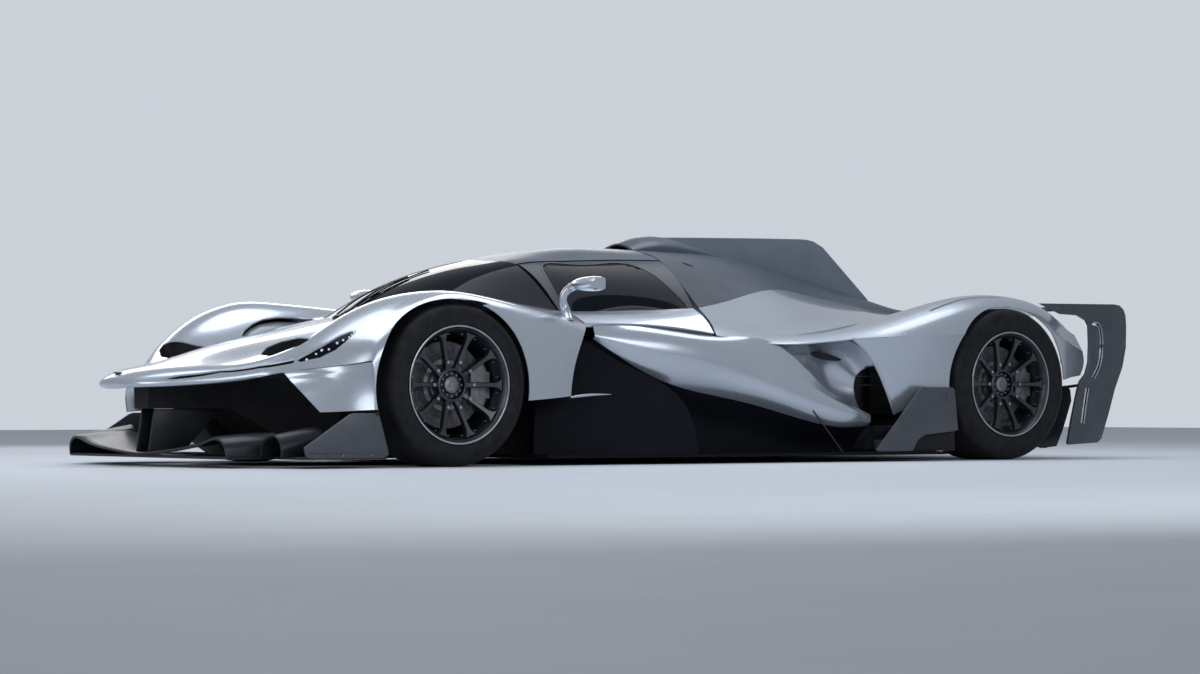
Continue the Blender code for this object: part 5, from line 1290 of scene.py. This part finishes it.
def betweenGrids(name, low, high):
    form = bmesh.new()
    rows, columns = low.shape[:2]
    sheets = [[[form.verts.new(tuple(point)) for point in row] for row in grid] for grid in (low, high)]
    for sheet, flip in zip(sheets, (True, False)):
        for i in range(rows - 1):
            for j in range(columns - 1):
                corners = [sheet[i][j], sheet[i + 1][j], sheet[i + 1][j + 1], sheet[i][j + 1]]
                form.faces.new(corners[::-1] if flip else corners)
    edge = [(i, 0) for i in range(rows)] + [(rows - 1, j) for j in range(1, columns)]
    edge += [(i, columns - 1) for i in range(rows - 2, -1, -1)]
    edge += [(0, j) for j in range(columns - 2, 0, -1)]
    for (i, j), (m, n) in zip(edge, edge[1:] + edge[:1]):
        form.faces.new((sheets[0][i][j], sheets[0][m][n], sheets[1][m][n], sheets[1][i][j]))
    bmesh.ops.recalc_face_normals(form, faces=form.faces)
    return addMesh(name, form)


def padLift(share, across):
    crown = 1 - np.abs(across / .86) ** 8
    channel = np.abs(np.sin(share * math.pi * seatSizes["channels"])) ** .35
    seam = np.abs(np.sin((across + 1) * math.pi * 1.5)) ** .25
    ends = min(1, share / .03, (1 - share) / .03)
    return .0125 + seatSizes["pad"] * np.clip(crown, 0, 1) ** .5 * (.35 + .65 * channel * seam) * ends


for label, side in sides:
    flat = seatGrid(side, lambda share, across: 0.0 * across)
    moulded = shell("seatShell" + label, [flat], seatSizes["wall"], 1, 1.0)
    settle(moulded, darkCarbon, 40)
    given(moulded, "chassis", "dark_carbon", "seat_" + label)
    inner = seatGrid(side, lambda share, across: .0120 + 0.0 * across)[2:-2, 3:-3]
    outer = seatGrid(side, padLift)[2:-2, 3:-3]
    pad = betweenGrids("seatPad" + label, inner, outer)
    settle(pad, blackSuede, 60)
    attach(pad, "chassis")


# Steering yoke
yokeSizes = {"y": -.250, "grip": .0125, "column": .019, "knob": .006}
yokeCentre = Vector((frontAxle + .700, yokeSizes["y"], .560))
yokeAxis = (yokeCentre - Vector((frontAxle + .500, yokeSizes["y"], .510))).normalized()
yokeTurn = yokeAxis.to_track_quat("Z", "Y").to_matrix().to_4x4()
yokeFrame = Matrix.Translation(yokeCentre) @ yokeTurn @ Matrix.Rotation(math.pi / 2, 4, "Z")
gripLine = [(.070, -.070), (.112, -.062), (.128, -.030), (.130, .020), (.116, .060), (.070, .072),
            (0, .070), (-.070, .072), (-.116, .060), (-.130, .020), (-.128, -.030), (-.070, -.070),
            (-.112, -.062), (-.128, -.030)]
grip = tube("yokeGrip", [(x * .92, y * .90, .0) for x, y in gripLine], yokeSizes["grip"], 16, 5)
face = block("yokeFace", (-.085, -.045, -.012), (.085, .050, .006), .006)
screen = block("yokeScreen", (-.048, .000, -.0165), (.048, .040, -.0118), .001)
knobs = [rod("yokeKnob", (x, y, -.012), (x, y, -.020), yokeSizes["knob"], .0055, 20) for x in (-.066, .066)
         for y in (.030, .006, -.020)]
column = rod("yokeColumn", (0, 0, -.200), (0, 0, -.006), yokeSizes["column"])
yokeParts = []
yokeFinishes = [blackSuede, darkCarbon, darkGlass, castAlloy] + [castAlloy] * len(knobs)
for piece, finish in zip([grip, face, screen, column] + knobs, yokeFinishes):
    piece.data.transform(yokeFrame)
    yokeParts.append(settle(piece, finish, 35))
given(joined("steeringYoke", yokeParts), "steering", "suede_black", "steering_wheel")
print("cabin made")


# Wheels
rimSizes = {"face": .955, "spokes": 10, "firstSpoke": math.radians(18), "pegs": 12, "rimBolts": 20,
            "discHoles": 36}
corners = (("front", frontAxle, frontRadius, .300), ("rear", rearAxle, rearRadius, .330))


def roundedTyre(radius, half):
    outer = [(.2296, half - .0120), (.2475, half - .0118), (.2500, half - .0010), (.2620, half + .0016),
             (.2760, half + .0020), (radius - .045, half + .0018), (radius - .030, half - .0010),
             (radius - .018, half - .0070), (radius - .0085, half - .0155), (radius - .0030, half - .0270),
             (radius - .0006, half - .0400), (radius, half - .0560)]
    middle = [(radius, out) for out in np.linspace(half - .08, -half + .08, 5)]
    return outer + middle + [(r, -out) for r, out in outer[::-1]]


def sidewallRing(radius, half):
    inner, wide, proud = radius - .0400, .0035, .0004
    return [(inner, half - .001), (inner + .0004, half + .0019 + proud),
            (inner + wide, half + .0008 + proud), (inner + wide + .001, half - .002)]


def spokeForm(name, side):
    stations = [(.062, .0140, -.0600, .022), (.076, .0115, -.0560, .024), (.110, .0105, -.0460, .024),
                (.160, .0100, -.0350, .022), (.190, .0112, -.0278, .020), (.208, .0170, -.0225, .020),
                (.219, .0280, -.0195, .020)]
    rings = []
    for radius, half, out, depth in stations:
        ring = [(-half, -depth), (half, -depth), (half + .0005, -.005), (half - .0030, 0),
                (-half + .0030, 0), (-half - .0005, -.005)]
        rings.append([(a, side * (rimSizes["face"] + out + lift), radius) for a, lift in ring])
    return loft(name, rings)


# Pegs repeated around the wheel's axle
def pegRing(name, place, side, out, size, length, count, turn, finish, hubPlace):
    pegs = rod(name, (0, side * (out - length), place), (0, side * out, place), size, size * .86, 12)
    repeated(pegs, ringTree, {"Count": count, "Turn": turn}, finish)
    return movedTo(pegs, hubPlace)


def turned(name, line, centre, side, finish, out=0, steps=128, sharp=30):
    return settle(lathe(name, [(r, out + y) for r, y in line], centre, side, steps), finish, sharp)


# A part of a turned ring, closed at both ends
def sector(name, profile, centre, side, start, end, steps=24):
    angles = np.radians(np.linspace(start, end, steps))
    return loft(name, [[(centre[0] + radius * math.cos(a), side * out, centre[1] + radius * math.sin(a))
                        for radius, out in profile] for a in angles])


for end, axleX, radius, width in corners:
    half = width / 2
    faceY = rimSizes["face"]
    hubPlace = (axleX, 0, radius)
    for label, side in sides:
        body = "wheel_%s_%s" % (end, label)
        tag = end + label.capitalize()
        centre = (axleX, side * (faceY - half), radius)
        tread = turned("tyre" + tag, roundedTyre(radius, half), centre, side, rubber, sharp=40)
        given(tread, body, "tyre_rubber", "tyre_%s_%s" % (end, label))
        band = turned("tyreBand" + tag, sidewallRing(radius, half), centre, side, rubber, sharp=40)
        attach(band, body)
        barrel = [(.2452, 0), (.2460, -.0020), (.2452, -.0075), (.2290, -.0116), (.2290, -width + .0116),
                  (.2452, -width + .0075), (.2460, -width + .002), (.2452, -width), (.2150, -width),
                  (.2150, -.060), (.2180, -.040), (.2260, -.0180), (.2330, -.0075), (.2368, -.0015),
                  (.2385, 0)]
        edge = [(.2385, .0), (.2395, .0004), (.2445, .0004), (.2455, -.0004), (.2440, -.002),
                (.2395, -.002)]
        hubLine = [(.0004, -.0720), (.0300, -.0720), (.0360, -.0760), (.0400, -.0800), (.0540, -.0790),
                   (.0590, -.0660), (.0600, -.0560), (.0615, -.0548), (.0665, -.0548), (.0695, -.0570),
                   (.0705, -.0640), (.0705, -.0880), (.0004, -.0880)]
        capLine = [(.0004, -.0550), (.0120, -.0550), (.0140, -.0560), (.0150, -.0590), (.0320, -.0610),
                   (.0350, -.0640), (.0360, -.0700), (.0360, -.0800), (.0004, -.0800)]
        parts = [turned("rimBarrel" + tag, barrel, centre, side, wheelMetal, half),
                 turned("rimLip" + tag, edge, centre, side, rimLip, half)]
        spokes = spokeForm("spokes" + tag, side)
        repeated(spokes, ringTree, {"Count": rimSizes["spokes"], "Turn": rimSizes["firstSpoke"]},
                 wheelMetal, 30)
        parts.append(movedTo(spokes, hubPlace))
        parts.append(turned("hub" + tag, hubLine, centre, side, wheelMetal, half, 96))
        parts.append(turned("hubCap" + tag, capLine, centre, side, castAlloy, half, 72))
        parts.append(pegRing("pegs" + tag, .0475, side, faceY - .0640, .0045, .018, rimSizes["pegs"], 0.0,
                             castAlloy, hubPlace))
        parts.append(pegRing("spokeStuds" + tag, .0970, side, faceY - .0415, .0078, .014,
                             rimSizes["spokes"], rimSizes["firstSpoke"], rimLip, hubPlace))
        parts.append(pegRing("rimBolts" + tag, .2105, side, faceY - .034, .0030, .020, rimSizes["rimBolts"],
                             math.radians(9), castAlloy, hubPlace))
        given(joined("wheel" + tag, parts), body, "gunmetal", "rim_%s_%s" % (end, label))
        ringLine = [(.1800, .8455), (.1800, .8380), (.1760, .8370), (.1760, .8230), (.1800, .8220),
                    (.1800, .8150), (.1100, .8150), (.1080, .8170), (.1080, .8435), (.1100, .8450)]
        bellLine = [(.1120, .8400), (.0880, .8420), (.0840, .8580), (.0620, .8600), (.0600, .8580),
                    (.0600, .8300), (.0800, .8200), (.1120, .8200)]
        parts = [turned("discRing" + tag, ringLine, hubPlace, side, discCarbon, 0, 96),
                 turned("discBell" + tag, bellLine, hubPlace, side, castAlloy, 0, 96)]
        # Near-black dots on the disc's face for its drilled holes: painted shade, not cut holes
        for name, place, turn in (("discHoles", .160, 0.0), ("discHolesIn", .1350, math.radians(5))):
            parts.append(pegRing(name + tag, place, side, .8453, .0030, .002, rimSizes["discHoles"], turn,
                                 blackTrim, hubPlace))
        given(joined("disc" + tag, parts), body, "disc_carbon", "disc_%s_%s" % (end, label))
        grip = [(.1870, .8060), (.1870, .8540), (.1340, .8540), (.1200, .8620), (.1260, .8680),
                (.1900, .8690), (.2020, .8620), (.2040, .8300), (.2020, .8000), (.1900, .7930),
                (.1260, .7930), (.1200, .7990), (.1340, .8060)]
        caliper = sector("caliper" + tag, grip, (axleX, radius), side, -34, 34)
        settle(caliper, castAlloy, 25)
        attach(caliper, "knuckle_" + label if end == "front" else "chassis")
print("wheels made")


# Floor, backdrop and lamps
stageSizes = {"floor": 40.0, "worldLight": .45, "lens": 92.41}
stageGround, tree, shader = newMaterial("stageGround")
tintBetween(tree, shader, noiseOn(tree, 3.0), (.60, .63, .67), (.62, .65, .69))
setSockets(shader, Roughness=.7, Specular_IOR_Level=.2)
bpy.ops.mesh.primitive_plane_add(size=stageSizes["floor"], location=(0, 0, 0))
ground = bpy.context.object
ground.name = "studioFloor"
ground.data.materials.append(stageGround)


def softLamp(name, place, aim, width, height, power, color=(1, 1, 1)):
    lamp = bpy.data.lights.new(name, "AREA")
    lamp.shape = "RECTANGLE"
    lamp.size = width
    lamp.size_y = height
    lamp.energy = power
    lamp.color = color
    holder = bpy.data.objects.new(name, lamp)
    holder.location = place
    holder.rotation_euler = (Vector(aim) - Vector(place)).to_track_quat("-Z", "Y").to_euler()
    bpy.context.scene.collection.objects.link(holder)
    return holder


softLamp("overhead", (0, 0, 4.2), (0, 0, 0), 6.5, 3.2, 165, (.86, .92, 1.0))
softLamp("nearStrip", (-1.5, -7.5, 2.4), (0, 0, .4), 7.0, 2.0, 110, (.92, .96, 1.0))
softLamp("noseStrip", (-7.5, -2.0, 2.6), (-1, 0, .4), 2.0, 4.0, 60, (.96, .98, 1.0))
softLamp("farStrip", (1.0, 6.0, 3.0), (0, 0, .5), 7.0, 1.5, 90)

world = bpy.context.scene.world or bpy.data.worlds.new("studio")
bpy.context.scene.world = world
world.use_nodes = True
tree = world.node_tree
tree.nodes.clear()
lit = nodeOn(tree, "ShaderNodeBackground", {"Color": (.80, .86, .95, 1),
                                            "Strength": stageSizes["worldLight"]})
seen = nodeOn(tree, "ShaderNodeBackground", {"Color": (.60, .64, .69, 1)})
path = nodeOn(tree, "ShaderNodeLightPath")
mixer = nodeOn(tree, "ShaderNodeMixShader", {"Fac": path.outputs["Is Camera Ray"],
                                             1: lit.outputs["Background"], 2: seen.outputs["Background"]})
nodeOn(tree, "ShaderNodeOutputWorld", {"Surface": mixer.outputs["Shader"]})

scene = bpy.context.scene
scene.view_settings.view_transform = "Standard"
camera = bpy.data.cameras.new("viewer")
camera.lens = stageSizes["lens"]
camera.sensor_width = 36
viewer = bpy.data.objects.new("viewer", camera)
viewer.location = (-8.2825, -11.5223, .2404)
viewer.rotation_euler = (math.radians(91.327), 0, math.radians(-35.816))
scene.collection.objects.link(viewer)
scene.camera = viewer
print("stage made")
